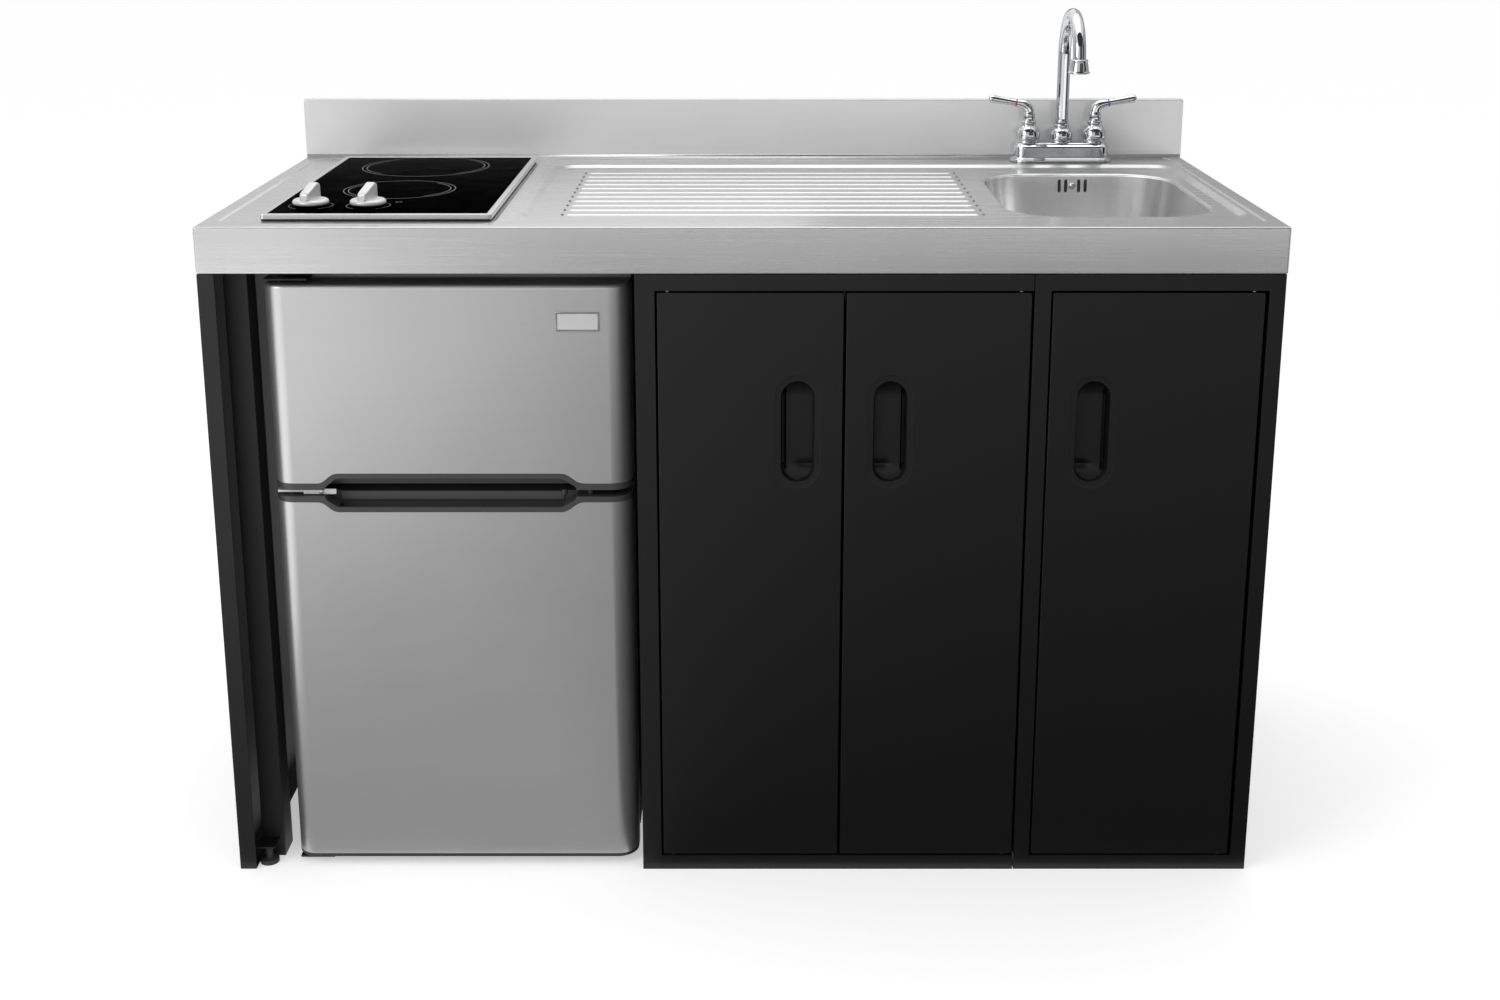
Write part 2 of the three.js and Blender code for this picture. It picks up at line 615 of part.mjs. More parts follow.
// ---------------------------------------------------------------- cabinets
function pivotOf({ x, hinge }) {
  const px = hinge === 'left' ? x[0] + DOOR.pivotIn : x[1] - DOOR.pivotIn;
  return [px, CABINET.front + DOOR.pivotBack];
}

// One folded steel carcass, open above and open at the front between its stiles and rails.
function carcass({ x, opening }, doors, cleatZ) {
  const { sheet: t, top, front, back } = CABINET;
  const zs = [0, top];
  const behindRail = [front, front + RAIL.depth];
  const pieces = [
    box([x[0], x[0] + t], [front, back], zs),
    box(x, [back - t, back], zs),
    box(x, [front, back], [RAIL.bottom - t, RAIL.bottom]),
    box(x, [front, front + 24], [0, t]),
    box(x, [front, front + t], [0, RAIL.bottom]),
    box(x, [front, front + t], [RAIL.top, top]),
    box(x, behindRail, [RAIL.top, RAIL.top + t]),
    box(x, [front, front + 34], [top - t, top]),
    box(x, [back - 25, back], [top - t, top]),
    box([x[0], opening[0]], [front, front + t], zs),
    box([opening[0] - t, opening[0]], behindRail, zs),
  ];
  const hasRightStile = opening[1] < x[1];
  const wallFront = hasRightStile ? front : front + 18.7;
  pieces.push(box([x[1] - t, x[1]], [wallFront, back], zs));
  if (hasRightStile) {
    pieces.push(box([opening[1], x[1]], [front, front + t], zs));
    pieces.push(box([opening[1], opening[1] + t], behindRail, zs));
  }
  if (cleatZ) {
    const cleat = (xs) => box(xs, [-250, 250], [cleatZ - t, cleatZ]);
    pieces.push(cleat([x[0], x[0] + 12]), cleat([x[1] - 12, x[1]]));
  }
  const bowlClearance = box([BOWL.x[0] - 20, BOWL.x[1] + 16], [-215, 205], [725, top + 1]);
  const pinHoles = doors.map(
    (door) => rod(DOOR.pin + 0.4, [RAIL.bottom - 5, RAIL.top + 5], ...pivotOf(door)),
  );
  return cut(join(pieces), [bowlClearance, ...pinHoles]);
}

function stadium(width, height, x, z) {
  return roundedRect(grow([x, x], width / 2), grow([z, z], height / 2), width / 2);
}

// A steel door pan with folded edges, a pressed pull cup and a pivot pin at each end.
function cabinetDoor(door) {
  const { thick, skin, z } = DOOR;
  const ys = [CABINET.front + 0.2, CABINET.front + 0.2 + thick];
  const inside = box(grow(door.x, -skin), [ys[0] + skin, ys[1] + 1], grow(z, -skin));
  const pan = box(door.x, ys, z).subtract(inside);
  const [width, height] = CUP.open;
  const floorY = ys[0] + CUP.depth;
  const shell = prismY(
    stadium(width + 2 * skin, height + 2 * skin, door.cup, CUP.z), [ys[0], floorY + skin], 4,
  );
  const dish = prismY(stadium(width, height, door.cup, CUP.z), [ys[0] - 1, floorY], 4);
  const reach = 8;
  const ends = [[z[0] - reach, z[0] + skin], [z[1] - skin, z[1] + reach]];
  const pins = ends.map((range) => rod(DOOR.pin, range, ...pivotOf(door)));
  return join([pan.add(shell).subtract(dish), ...pins]);
}

function shelf() {
  const xs = [DOUBLE.x[0] + 2.5, DOUBLE.x[1] - 2.5];
  const ys = [-278, 302];
  const zs = [400, 418];
  const under = box(grow(xs, 1), [ys[0] + 1.5, ys[1] - 1.5], [zs[0] - 1, zs[1] - 1.5]);
  const top = box(xs, ys, zs).subtract(under);
  return top.add(box(xs, [ys[0], ys[0] + 14], [zs[0], zs[0] + 1.5]));
}

function doorCatch(xs) {
  return box(xs, [-287.9, -268], [792, RAIL.top - GAP]);
}

addPart('double_carcass', carcass(DOUBLE, [DOORS.left, DOORS.middle], 399.7), blackPaint);
addPart('single_carcass', carcass(SINGLE, [DOORS.right], 0), blackPaint);
addPart('cabinet_shelf', shelf(), blackPaint);
addPart('double_door_catch', doorCatch([106, 155]), blackPlastic);
addPart('single_door_catch', doorCatch([394, 416]), blackPlastic);
for (const [side, door] of Object.entries(DOORS)) {
  const group = movingGroup(...pivotOf(door), DOOR.z[0]);
  addPart(`${side}_cabinet_door`, cabinetDoor(door), blackPaint, group);
}

// ---------------------------------------------------------------- refrigerator cabinet
// The side outline of the body, stepped at the lower back for the compressor.
function bodyOutline(inset) {
  const [y0, y1] = grow(FRIDGE.y, -inset);
  const [z0, z1] = grow(FRIDGE.z, -inset);
  const stepY = MACHINE.y - inset;
  const stepZ = MACHINE.z + inset;
  return [[y0, z0], [stepY, z0], [stepY, stepZ], [y1, stepZ], [y1, z1], [y0, z1]];
}

function fridgeCavity(out) {
  const { x, y, z, humpY, humpZ } = FRIDGE_CAVITY;
  const front = FRIDGE.y[0] - 1;
  const [z0, z1] = grow(z, out);
  const side = polygon([
    [front, z0], [humpY + out, z0], [humpY + out, humpZ - out],
    [y + out, humpZ - out], [y + out, z1], [front, z1],
  ]);
  return prismX(side, grow(x, out));
}

function freezerCavity(out) {
  const { x, y, z } = FREEZER_CAVITY;
  return box(grow(x, out), [FRIDGE.y[0] - 1, y + out], grow(z, out));
}

function fridgeShell() {
  const t = FRIDGE.shell;
  const outer = prismX(polygon(bodyOutline(0)), FRIDGE.x);
  const inner = prismX(polygon(bodyOutline(t)), grow(FRIDGE.x, -t));
  const mouth = box(grow(FRIDGE.x, -t), [FRIDGE.y[0] - 1, FRIDGE.y[0] + 5], grow(FRIDGE.z, -t));
  const ys = [MACHINE.y - 1, FRIDGE.y[1]];
  const base = box(FRIDGE.x, ys, [FRIDGE.z[0], FRIDGE.z[0] + 2]);
  const cheeks = [
    box([FRIDGE.x[0], FRIDGE.x[0] + t], ys, [FRIDGE.z[0], MACHINE.z + 1]),
    box([FRIDGE.x[1] - t, FRIDGE.x[1]], ys, [FRIDGE.z[0], MACHINE.z + 1]),
  ];
  const { rearR, rearY } = FRIDGE_FEET;
  const rearFeet = Object.values(FRIDGE_FEET.xs).map((x) => rod(rearR, [0, FRIDGE.z[0] + 1], x, rearY, 12));
  return join([cut(outer, [inner, mouth]), base, ...cheeks, ...rearFeet]);
}

function fridgeFoam() {
  const t = FRIDGE.shell + GAP;
  const block = prismX(polygon(bodyOutline(t)), grow(FRIDGE.x, -t));
  const front = box(grow(FRIDGE.x, 1), [FRIDGE.y[0] - 2, FRIDGE.y[0] + 1.8], grow(FRIDGE.z, 1));
  return cut(block, [front, fridgeCavity(1.8), freezerCavity(1.8)]);
}

function fridgeLiner() {
  const t = FRIDGE.shell + GAP;
  const face = box(grow(FRIDGE.x, -t), [FRIDGE.y[0], FRIDGE.y[0] + 1.5], grow(FRIDGE.z, -t));
  const ahead = box(grow(FRIDGE.x, 1), [FRIDGE.y[0] - 3, FRIDGE.y[0]], grow(FRIDGE.z, 1));
  const walls = join([face, fridgeCavity(1.5), freezerCavity(1.5)]);
  return cut(walls, [ahead, fridgeCavity(0), freezerCavity(0)]);
}

function openBox(xs, ys, zs, wall) {
  return box(xs, ys, zs).subtract(box(grow(xs, -wall), grow(ys, -wall), [zs[0] + wall, zs[1] + 1]));
}

function glassPane(z) {
  return box(GLASS_SHELF.x, GLASS_SHELF.y, [z, z + GLASS_SHELF.pane]);
}

function crisperDrawer() {
  return openBox(CRISPER.x, CRISPER.y, [FRIDGE_CAVITY.z[0] + 1, CRISPER.top], CRISPER.wall);
}

function thermostatBox() {
  return box([THERMOSTAT.left, FRIDGE_CAVITY.x[1] - GAP], THERMOSTAT.y, THERMOSTAT.z);
}

function thermostatDial() {
  const { dialX: x, dialZ: z, dialR: r, y: [front] } = THERMOSTAT;
  const dial = prismY(circle(r), [front - 9, front - GAP], 8).translate([x, 0, z]);
  const grip = box(grow([x, x], 2.5), [front - 14, front - 8], grow([z, z], r - 3));
  return dial.add(grip);
}

function compressor() {
  const [x, y] = [mid(FRIDGE.x), 150];
  const dome = turned([[0, 46], [40, 46], [52, 60], [52, 130], [40, 150], [20, 158], [0, 160]], x, y, 16);
  const mounting = box(grow([x, x], 70), grow([y, y], 40), [FRIDGE.z[0] + 2 + GAP, 47]);
  return dome.add(mounting);
}

// One bent tube that runs to and fro behind the body, on upright wires.
function condenser() {
  const [rows, pitch, lowest] = [7, 66, 250];
  const [left, right] = grow(FRIDGE.x, -45);
  const y = FRIDGE.y[1] + 16;
  const route = [];
  for (let row = 0; row < rows; row += 1) {
    const z = lowest + row * pitch;
    const [from, to] = row % 2 === 0 ? [left, right] : [right, left];
    route.push([from, y, z + 8], [(from * 3 + to) / 4, y, z], [(from + to * 3) / 4, y, z], [to, y, z + 8]);
  }
  const wires = Array.from({ length: 5 }, (_, i) => {
    const x = left + 25 + i * (right - left - 50) / 4;
    return box([x - 1.2, x + 1.2], [y - 3.6, y - 1], [lowest - 10, lowest + rows * pitch]);
  });
  const spacers = [left + 25, right - 25].flatMap((x) => [260, 690].map((z) => (
    box([x - 5, x + 5], [FRIDGE.y[1] + GAP, y], [z, z + 14])
  )));
  return join([tube(route, 2.6, 84, 4), ...wires, ...spacers]);
}

function fridgeFoot(x) {
  const { frontY: y, r, stem } = FRIDGE_FEET;
  return join([rod(r, [0, 8], x, y, 14), rod(stem, [7, FRIDGE.z[0] - GAP], x, y, 8)]);
}

const [HINGE_X, HINGE_Y] = FDOOR.pivot;

function topHinge() {
  const seat = FRIDGE.z[1] + GAP;
  const plate = box(
    [HINGE.left, HINGE.right + 8], [HINGE.front, HINGE.back + 6], [seat, seat + HINGE.plate],
  );
  return plate.add(rod(HINGE.pin, [FREEZER_DOOR.z[1] - 14, seat + 1], HINGE_X, HINGE_Y));
}

function middleHinge() {
  const gapMid = (FREEZER_DOOR.z[0] + FRIDGE_DOOR.z[1]) / 2;
  const behind = FRIDGE.y[0] - GAP;
  const left = HINGE.left + 1;
  const plate = box([left, HINGE.right], [HINGE.front + 1, behind], grow([gapMid, gapMid], 1.5));
  const flange = box([left, HINGE.right + 45], [behind - HINGE.plate, behind], grow([gapMid, gapMid], 8));
  const pin = rod(HINGE.middlePin, grow([gapMid, gapMid], 14), HINGE_X, HINGE_Y);
  const screw = prismY(circle(4), [FRIDGE.y[0] - 5, FRIDGE.y[0] - 2]).translate([-535, 0, gapMid]);
  return join([plate, flange, pin, screw]);
}

function bottomHinge() {
  const xs = [HINGE.left, HINGE.right];
  const plate = box(xs, [HINGE.front, HINGE.back], [6, 9]);
  const riser = box(xs, [HINGE.back - 50, HINGE.back], [8, FRIDGE.z[0] - GAP]);
  return join([plate, riser, rod(HINGE.pin, [8, 26], HINGE_X, HINGE_Y)]);
}

addPart('fridge_shell', fridgeShell(), blackPaint);
addPart('fridge_foam', fridgeFoam(), foamYellow);
addPart('fridge_liner', fridgeLiner(), whitePlastic);
addPart('fridge_shelf', glassPane(GLASS_SHELF.z), clearGlass);
addPart('crisper_cover', glassPane(FRIDGE_CAVITY.humpZ + 1), clearGlass);
addPart('crisper_drawer', crisperDrawer(), clearGlass);
addPart('thermostat_box', thermostatBox(), whitePlastic);
addPart('compressor', compressor(), blackPaint);
addPart('condenser', condenser(), blackPaint);
for (const [side, x] of Object.entries(FRIDGE_FEET.xs)) {
  addPart(`fridge_foot_${side}`, fridgeFoot(x), blackPlastic);
}
addPart('hinge_top', topHinge(), blackPaint);
addPart('hinge_middle', middleHinge(), zinc);
addPart('hinge_bottom', bottomHinge(), blackPaint);
const dialGroup = movingGroup(THERMOSTAT.dialX, THERMOSTAT.y[0], THERMOSTAT.dialZ);
addPart('thermostat_dial', thermostatDial(), whitePlastic, dialGroup);

// ---------------------------------------------------------------- refrigerator doors
// Plan outline of a door: flat behind, with rounded upright edges in front.
function doorPlan(inset, backY = FDOOR.y[1]) {
  const [x0, x1] = grow(FRIDGE.x, -inset);
  const y0 = FDOOR.y[0] + inset;
  const r = FDOOR.r - inset;
  const shape = new THREE.Shape();
  shape.moveTo(x0, backY);
  shape.lineTo(x0, y0 + r);
  shape.absarc(x0 + r, y0 + r, r, Math.PI, Math.PI * 1.5, false);
  shape.absarc(x1 - r, y0 + r, r, Math.PI * 1.5, Math.PI * 2, false);
  shape.lineTo(x1, backY);
  return shape;
}

// The dip in the steel edge for the grip; edge is the steel edge's height away from the dip
// and way is 1 for a dip that runs up and -1 for one that runs down.
function scoopShape(edge, way, shrink) {
  const deep = edge + way * (SCOOP.rise - shrink);
  const start = edge - way * 2;
  const [w0, w1] = grow(SCOOP.wide, -shrink);
  const [n0, n1] = grow(SCOOP.narrow, -shrink);
  return polygon([[w0, start], [w0, edge], [n0, deep], [n1, deep], [w1, edge], [w1, start]]);
}

function doorSkin(zs, edge, way) {
  const outer = prismZ(doorPlan(0), zs);
  const inner = prismZ(doorPlan(FDOOR.skin, FDOOR.y[1] + 1), grow(zs, 1));
  const scoop = prismY(scoopShape(edge, way, 0), [FDOOR.y[0] - 1, FDOOR.y[0] + 3]);
  return cut(outer, [inner, scoop]);
}

// Black moulded trim with the finger pocket; tip is its free edge and inner its hidden edge.
function doorGrip(tip, edge, inner, way) {
  const ordered = (a, b) => [Math.min(a, b), Math.max(a, b)];
  const hidden = FDOOR.skin + GAP;
  const cap = prismZ(doorPlan(0), ordered(tip, edge - way * GAP));
  const tongue = prismZ(doorPlan(hidden), ordered(edge - way, inner));
  const face = prismY(scoopShape(edge, way, GAP), [FDOOR.y[0], FDOOR.y[0] + 3]);
  const deep = edge + way * SCOOP.rise;
  const [n0, n1] = grow(SCOOP.narrow, -4);
  const [w0, w1] = grow(SCOOP.wide, -4);
  const lipZ = deep - way * SCOOP.lip;
  const foot = tip - way;
  const shoulder = tip + way * 6;
  const mouth = polygon([
    [w0, foot], [w0, shoulder], [n0, lipZ], [n1, lipZ], [w1, shoulder], [w1, foot],
  ]);
  const slot = polygon([[n0, tip - way], [n0, inner - way * 3], [n1, inner - way * 3], [n1, tip - way]]);
  return cut(join([cap, tongue, face]), [
    prismY(mouth, [FDOOR.y[0] - 1, SCOOP.pocket[1]]),
    prismY(slot, SCOOP.pocket),
  ]);
}

function doorGasket(zs) {
  const ys = [FDOOR.y[1] + GAP, FRIDGE.y[0] - 0.5];
  const xs = [HINGE_X - 1, FRIDGE.x[1] - 9];
  const width = 14;
  return box(xs, ys, zs).subtract(box(grow(xs, -width), grow(ys, 1), grow(zs, -width)));
}

function pinHole(r, zs) {
  return rod(r, zs, HINGE_X, HINGE_Y);
}

function freezerDoor() {
  const { z, steel } = FREEZER_DOOR;
  const group = movingGroup(HINGE_X, HINGE_Y, z[0]);
  const inner = 564;
  const sleeve = doorSkin([steel, z[1]], steel, 1);
  const topReturn = prismZ(doorPlan(0, FDOOR.y[0] + 30), [z[1] - FDOOR.skin, z[1]]);
  const holes = [pinHole(4.6, [z[1] - 18, z[1] + 1]), pinHole(4.1, [z[0] - 1, z[0] + 16])];
  const core = prismZ(doorPlan(FDOOR.skin + GAP), [inner, z[1] - FDOOR.skin - GAP]);
  const dyke = box([-556, -198], [FDOOR.y[1] - 2, -214], [590, 748]);
  addPart('freezer_door_skin', cut(sleeve.add(topReturn), holes), doorSteel, group);
  addPart('freezer_door_core', cut(core.add(dyke), holes), whitePlastic, group);
  addPart('freezer_gasket', doorGasket([552, 806]), rubber, group);
  addPart('freezer_grip', cut(doorGrip(z[0], steel, inner - GAP, 1), holes), blackPlastic, group);
}

function fridgeDoor() {
  const { z, steel, kick } = FRIDGE_DOOR;
  const group = movingGroup(HINGE_X, HINGE_Y, z[0]);
  const inner = 505;
  const holes = [pinHole(4.6, [z[0] - 1, z[0] + 18]), pinHole(4.1, [z[1] - 16, z[1] + 1])];
  const core = prismZ(doorPlan(FDOOR.skin + GAP), [kick - 1, inner]);
  const kickCap = prismZ(doorPlan(0), [z[0], kick - GAP]);
  const ribs = [[-566, -557], [-197, -188]].map((xs) => box(xs, [FDOOR.y[1] - 2, -205], [85, 480]));
  addPart('fridge_door_skin', cut(doorSkin([kick, steel], steel, -1), holes), doorSteel, group);
  addPart('fridge_door_core', cut(join([core, kickCap, ...ribs]), holes), whitePlastic, group);
  addPart('fridge_gasket', doorGasket([30, 518]), rubber, group);
  addPart('fridge_grip', cut(doorGrip(z[1], steel, inner + GAP, -1), holes), blackPlastic, group);
  const binY = [FDOOR.y[1] + GAP, BIN.back];
  addPart('door_bin_upper', openBox(BIN.x, binY, BIN.upper, BIN.wall), clearGlass, group);
  addPart('door_bin_lower', openBox(BIN.x, binY, BIN.lower, BIN.wall), clearGlass, group);
}

freezerDoor();
fridgeDoor();

export default kitchenette;
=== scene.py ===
"""Looks for the compact kitchenette: studio, materials and the detailed pieces.

The pieces are written in millimetres in the part's frame, as in the part's own source, and build
turns them into metres: +X to the right, +Y to the wall, +Z up. The studio is in metres.
"""

import json
import math

import bmesh
import bpy
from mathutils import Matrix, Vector
from mathutils.geometry import delaunay_2d_cdt


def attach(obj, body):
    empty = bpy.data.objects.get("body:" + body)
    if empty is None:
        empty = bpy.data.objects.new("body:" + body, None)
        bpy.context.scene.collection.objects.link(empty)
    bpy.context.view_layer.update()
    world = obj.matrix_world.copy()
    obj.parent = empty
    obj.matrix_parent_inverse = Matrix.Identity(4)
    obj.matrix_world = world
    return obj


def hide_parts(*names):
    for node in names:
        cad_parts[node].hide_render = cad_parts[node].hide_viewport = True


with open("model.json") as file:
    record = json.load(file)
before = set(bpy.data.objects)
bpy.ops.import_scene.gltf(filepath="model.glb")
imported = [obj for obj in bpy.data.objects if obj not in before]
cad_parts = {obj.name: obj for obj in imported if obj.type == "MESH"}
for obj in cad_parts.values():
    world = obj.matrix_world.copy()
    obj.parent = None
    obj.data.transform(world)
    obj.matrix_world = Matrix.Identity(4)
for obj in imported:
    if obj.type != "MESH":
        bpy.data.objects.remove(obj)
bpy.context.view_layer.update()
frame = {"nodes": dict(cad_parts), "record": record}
NODES = frame["nodes"]
RECORD = frame["record"]
BODY_OF = {node: body for body, nodes in RECORD["behaviour"]["bodies"].items() for node in nodes}
SLOT_OF = {part["node"]: part["material_slot"] for part in RECORD["subparts"]}
SCENE = bpy.context.scene
MM = 0.001
WHITE = (1, 1, 1, 1)


# -------- objects and shader nodes
def add_object(name, data):
    made = bpy.data.objects.new(name, data)
    SCENE.collection.objects.link(made)
    return made


def fill(node, values):
    """Sets inputs of a node, or links them where the value is an output of another node."""
    for socket, value in values.items():
        if isinstance(value, bpy.types.NodeSocket):
            node.id_data.links.new(value, node.inputs[socket])
        else:
            node.inputs[socket].default_value = value


def add_node(tree, kind, values, operation=None):
    """Adds a node, fills its inputs and gives its first output."""
    node = tree.nodes.new(kind)
    if operation:
        node.operation = operation
    fill(node, values)
    return node.outputs[0]


# -------- studio, in metres
def make_camera():
    data = bpy.data.cameras.new("camera")
    data.lens = 43.4
    data.shift_y = -0.11
    camera = add_object("camera", data)
    camera.location = (0.010, -2.525, 1.300)
    camera.rotation_euler = (math.radians(90 - 13.9), 0, 0)
    SCENE.camera = camera


def area_light(name, place, aim, size, power):
    data = bpy.data.lights.new(name, "AREA")
    data.shape = "RECTANGLE"
    data.size = size
    data.size_y = size
    data.energy = power
    lamp = add_object(name, data)
    lamp.location = place
    lamp.rotation_euler = (Vector(aim) - Vector(place)).to_track_quat("-Z", "Y").to_euler()


def mix_by_seen_rays(tree, unseen, seen):
    """The shader seen for rays from the camera and for those that metal and glass send on, and the
    shader unseen for all others."""
    path = tree.nodes.new("ShaderNodeLightPath")
    factor = path.outputs["Is Camera Ray"]
    for kind in ("Is Glossy Ray", "Is Transmission Ray"):
        factor = add_node(tree, "ShaderNodeMath", {0: factor, 1: path.outputs[kind]}, "MAXIMUM")
    return add_node(tree, "ShaderNodeMixShader", {0: factor, 1: unseen, 2: seen})


def make_world():
    """A backdrop that looks white and lights the object at a lower level."""
    world = bpy.data.worlds.new("studio")
    world.use_nodes = True
    tree = world.node_tree
    light = tree.nodes["Background"]
    fill(light, {"Color": WHITE, "Strength": 0.6})
    backdrop = add_node(tree, "ShaderNodeBackground", {"Color": WHITE, "Strength": 1.0})
    mix = mix_by_seen_rays(tree, light.outputs[0], backdrop)
    fill(tree.nodes["World Output"], {"Surface": mix})
    SCENE.world = world


def studio_sheet(name, corners):
    """A flat sheet and the node tree of its own material."""
    mesh = bpy.data.meshes.new(name)
    mesh.from_pydata(corners, [], [(0, 1, 2, 3)])
    paint = bpy.data.materials.new("studio_" + name)
    paint.use_nodes = True
    mesh.materials.append(paint)
    return add_object(name, mesh), paint.node_tree


def make_floor():
    """A white floor that keeps the object's shadow."""
    half = 40
    corners = [(-half, -half, 0), (half, -half, 0), (half, half, 0), (-half, half, 0)]
    floor, tree = studio_sheet("floor", corners)
    body = tree.nodes["Principled BSDF"]
    fill(body, {"Base Color": (0.9, 0.9, 0.9, 1), "Roughness": 0.9, "Specular IOR Level": 0.0})
    glow = add_node(tree, "ShaderNodeEmission", {"Strength": 0.45})
    dark = add_node(tree, "ShaderNodeEmission", {"Strength": 0.0})
    lift = mix_by_seen_rays(tree, dark, glow)
    lifted = add_node(tree, "ShaderNodeAddShader", {0: body.outputs[0], 1: lift})
    fill(tree.nodes["Material Output"], {"Surface": lifted})


def make_card(name, spans, tone):
    """A plain card that only reflections see, as bright as its tone."""
    corners = []
    for ends in ((0, 0), (1, 0), (1, 1), (0, 1)):
        end = iter(ends)
        corners.append([span[next(end)] if isinstance(span, tuple) else span for span in spans])
    sheet, tree = studio_sheet(name, corners)
    fill(tree.nodes["Principled BSDF"], {
        "Base Color": (0, 0, 0, 1),
        "Specular IOR Level": 0.0,
        "Emission Color": WHITE,
        "Emission Strength": tone,
    })
    sheet.visible_camera = False
    sheet.visible_diffuse = False
    sheet.visible_shadow = False
    sheet.visible_transmission = False


# Spans in x, y and z, where a single number is the plane that the card lies in, and the tone.
LOW = 0.004
CARDS = {
    "back_end": ((-6, -1.1), 3.0, (0, 2.0), 0.58),
    "back_left": ((-1.1, 0.2), 3.0, (0, 2.0), 0.90),
    "back_right": ((0.2, 6), 3.0, (0, 2.0), 0.33),
    "high_left": ((-6, 0.9), 3.0, (2.0, 4.5), 1.15),
    "high_right": ((0.9, 6), 3.0, (2.0, 4.5), 0.60),
    "overhead": ((-3, 3), (-1, 3), 4.6, 1.15),
    "near_left": ((-1.25, -0.12), (-1.9, -0.312), LOW, 0.36),
    "left_band": ((-3.2, -1.25), (-1.9, 0.3), LOW, 1.7),
    "near_right": ((-0.12, 4), (-1.9, -0.312), LOW, 0.0),
    "middle_left": ((-6, -0.75), (-3.2, -1.9), LOW, 1.85),
    "middle_right": ((-0.75, 6), (-3.2, -1.9), LOW, 0.10),
    "far_left": ((-6, -1.4), (-6, -3.2), LOW, 0.70),
    "far_centre": ((-1.4, 0.6), (-6, -3.2), LOW, 0.33),
    "far_right": ((0.6, 6), (-6, -3.2), LOW, 0.06),
    "front_left": ((-6, -1.6), -6, (0.12, 1.2), 1.15),
    "front_centre": ((-1.6, 0.6), -6, (0.12, 1.2), 0.95),
    "front_right": ((0.6, 6), -6, (0.05, 1.2), 1.5),
    "front_wall_left": ((-6, 0.3), -6, (1.2, 6), 0.75),
    "front_wall_right": ((0.3, 6), -6, (1.2, 6), 0.10),
    "front_ceiling": ((-3, 6), (-6, -1.5), 5, 0.05),
    "left_streak": (-3.0, (-1.3, -0.5), (0.2, 2.2), 0.02),
    "right_streak": (2.6, (-1.2, -0.2), (0.2, 2.2), 0.02),
    "left_wall": (-6, (-6, 3), (0, 5), 0.55),
    "right_wall": (6, (-6, 3), (0, 5), 0.45),
}

SCENE.view_settings.view_transform = "Standard"
make_camera()
make_world()
make_floor()
area_light("key", (-2.8, -2.4, 2.4), (0, 0, 0.6), 2.0, 36)
area_light("top", (0, 0.4, 3.0), (0, 0, 0.9), 2.4, 16)
for card_name, (*card_spans, card_tone) in CARDS.items():
    make_card(card_name + "_card", card_spans, card_tone)


# -------- materials
class Finish:
    """A Principled material with helpers for procedural detail in the part's own coordinates."""

    def __init__(self, name, color, roughness, metallic=0.0):
        self.material = bpy.data.materials.new(name)
        self.material.use_nodes = True
        self.tree = self.material.node_tree
        self.color = color
        self.set({"Base Color": (*color, 1), "Roughness": roughness, "Metallic": metallic})
        self.coords = self.tree.nodes.new("ShaderNodeTexCoord").outputs["Object"]

    def set(self, values):
        fill(self.tree.nodes["Principled BSDF"], values)

    def noise(self, scale, detail=2.0, stretch=(1, 1, 1)):
        place = add_node(self.tree, "ShaderNodeMapping", {"Vector": self.coords, "Scale": stretch})
        values = {"Vector": place, "Scale": scale, "Detail": detail}
        return add_node(self.tree, "ShaderNodeTexNoise", values)

    def spread(self, source, low, high):
        """The middle part of a noise, 0.3 to 0.7, becomes a value from low to high."""
        values = {"Value": source, "From Min": 0.3, "From Max": 0.7, "To Min": low, "To Max": high}
        return add_node(self.tree, "ShaderNodeMapRange", values)

    def add(self, first, second):
        return add_node(self.tree, "ShaderNodeMath", {0: first, 1: second}, "ADD")

    def tint(self, factor):
        """Scales the base colour by a factor that varies over the surface."""
        values = {0: self.color, "Scale": factor}
        self.set({"Base Color": add_node(self.tree, "ShaderNodeVectorMath", values, "SCALE")})

    def rough(self, source, low, high):
        self.set({"Roughness": self.spread(source, low, high)})

    def bump(self, source, depth_mm, strength):
        values = {"Height": source, "Distance": depth_mm * MM, "Strength": strength}
        self.set({"Normal": add_node(self.tree, "ShaderNodeBump", values)})


GRAIN_ALONG_X = (5.0, 700.0, 700.0)


def brushed_metal(name, color, roughness, contrast, depth, metallic):
    """Sheet steel with fine grain lines that run from left to right."""
    finish = Finish(name, color, roughness, metallic)
    grain = finish.noise(1.0, 3.0, GRAIN_ALONG_X)
    fine = finish.noise(2.7, 2.0, GRAIN_ALONG_X)
    cloud = finish.spread(finish.noise(5.0), 0.97, 1.03)
    coarse_lines, fine_lines = (finish.spread(lines, -contrast, contrast) for lines in (grain, fine))
    finish.tint(finish.add(finish.add(coarse_lines, fine_lines), cloud))
    finish.rough(grain, roughness - 0.02, roughness + 0.03)
    finish.bump(grain, depth, 0.5)
    return finish.material


def polished_metal(name, color, roughness):
    """Bright plating with faint smears."""
    finish = Finish(name, color, roughness, 1.0)
    smear = finish.noise(14.0, 3.0)
    finish.rough(smear, roughness * 0.7, roughness * 1.7)
    finish.bump(finish.noise(60.0, 1.0), 0.01, 0.2)
    return finish.material


def moulded(name, color, roughness, grain, depth, metallic=0.0, variation=0.05):
    """Paint, plastic, rubber, foam or cast metal with a fine grain and a slight cloud of tone."""
    finish = Finish(name, color, roughness, metallic)
    speck = finish.noise(grain)
    cloud = finish.noise(7.0, 3.0)
    finish.tint(finish.spread(cloud, 1 - variation, 1 + variation))
    finish.rough(speck, roughness - 0.06, roughness + 0.06)
    finish.bump(speck, depth, 0.5)
    return finish.material


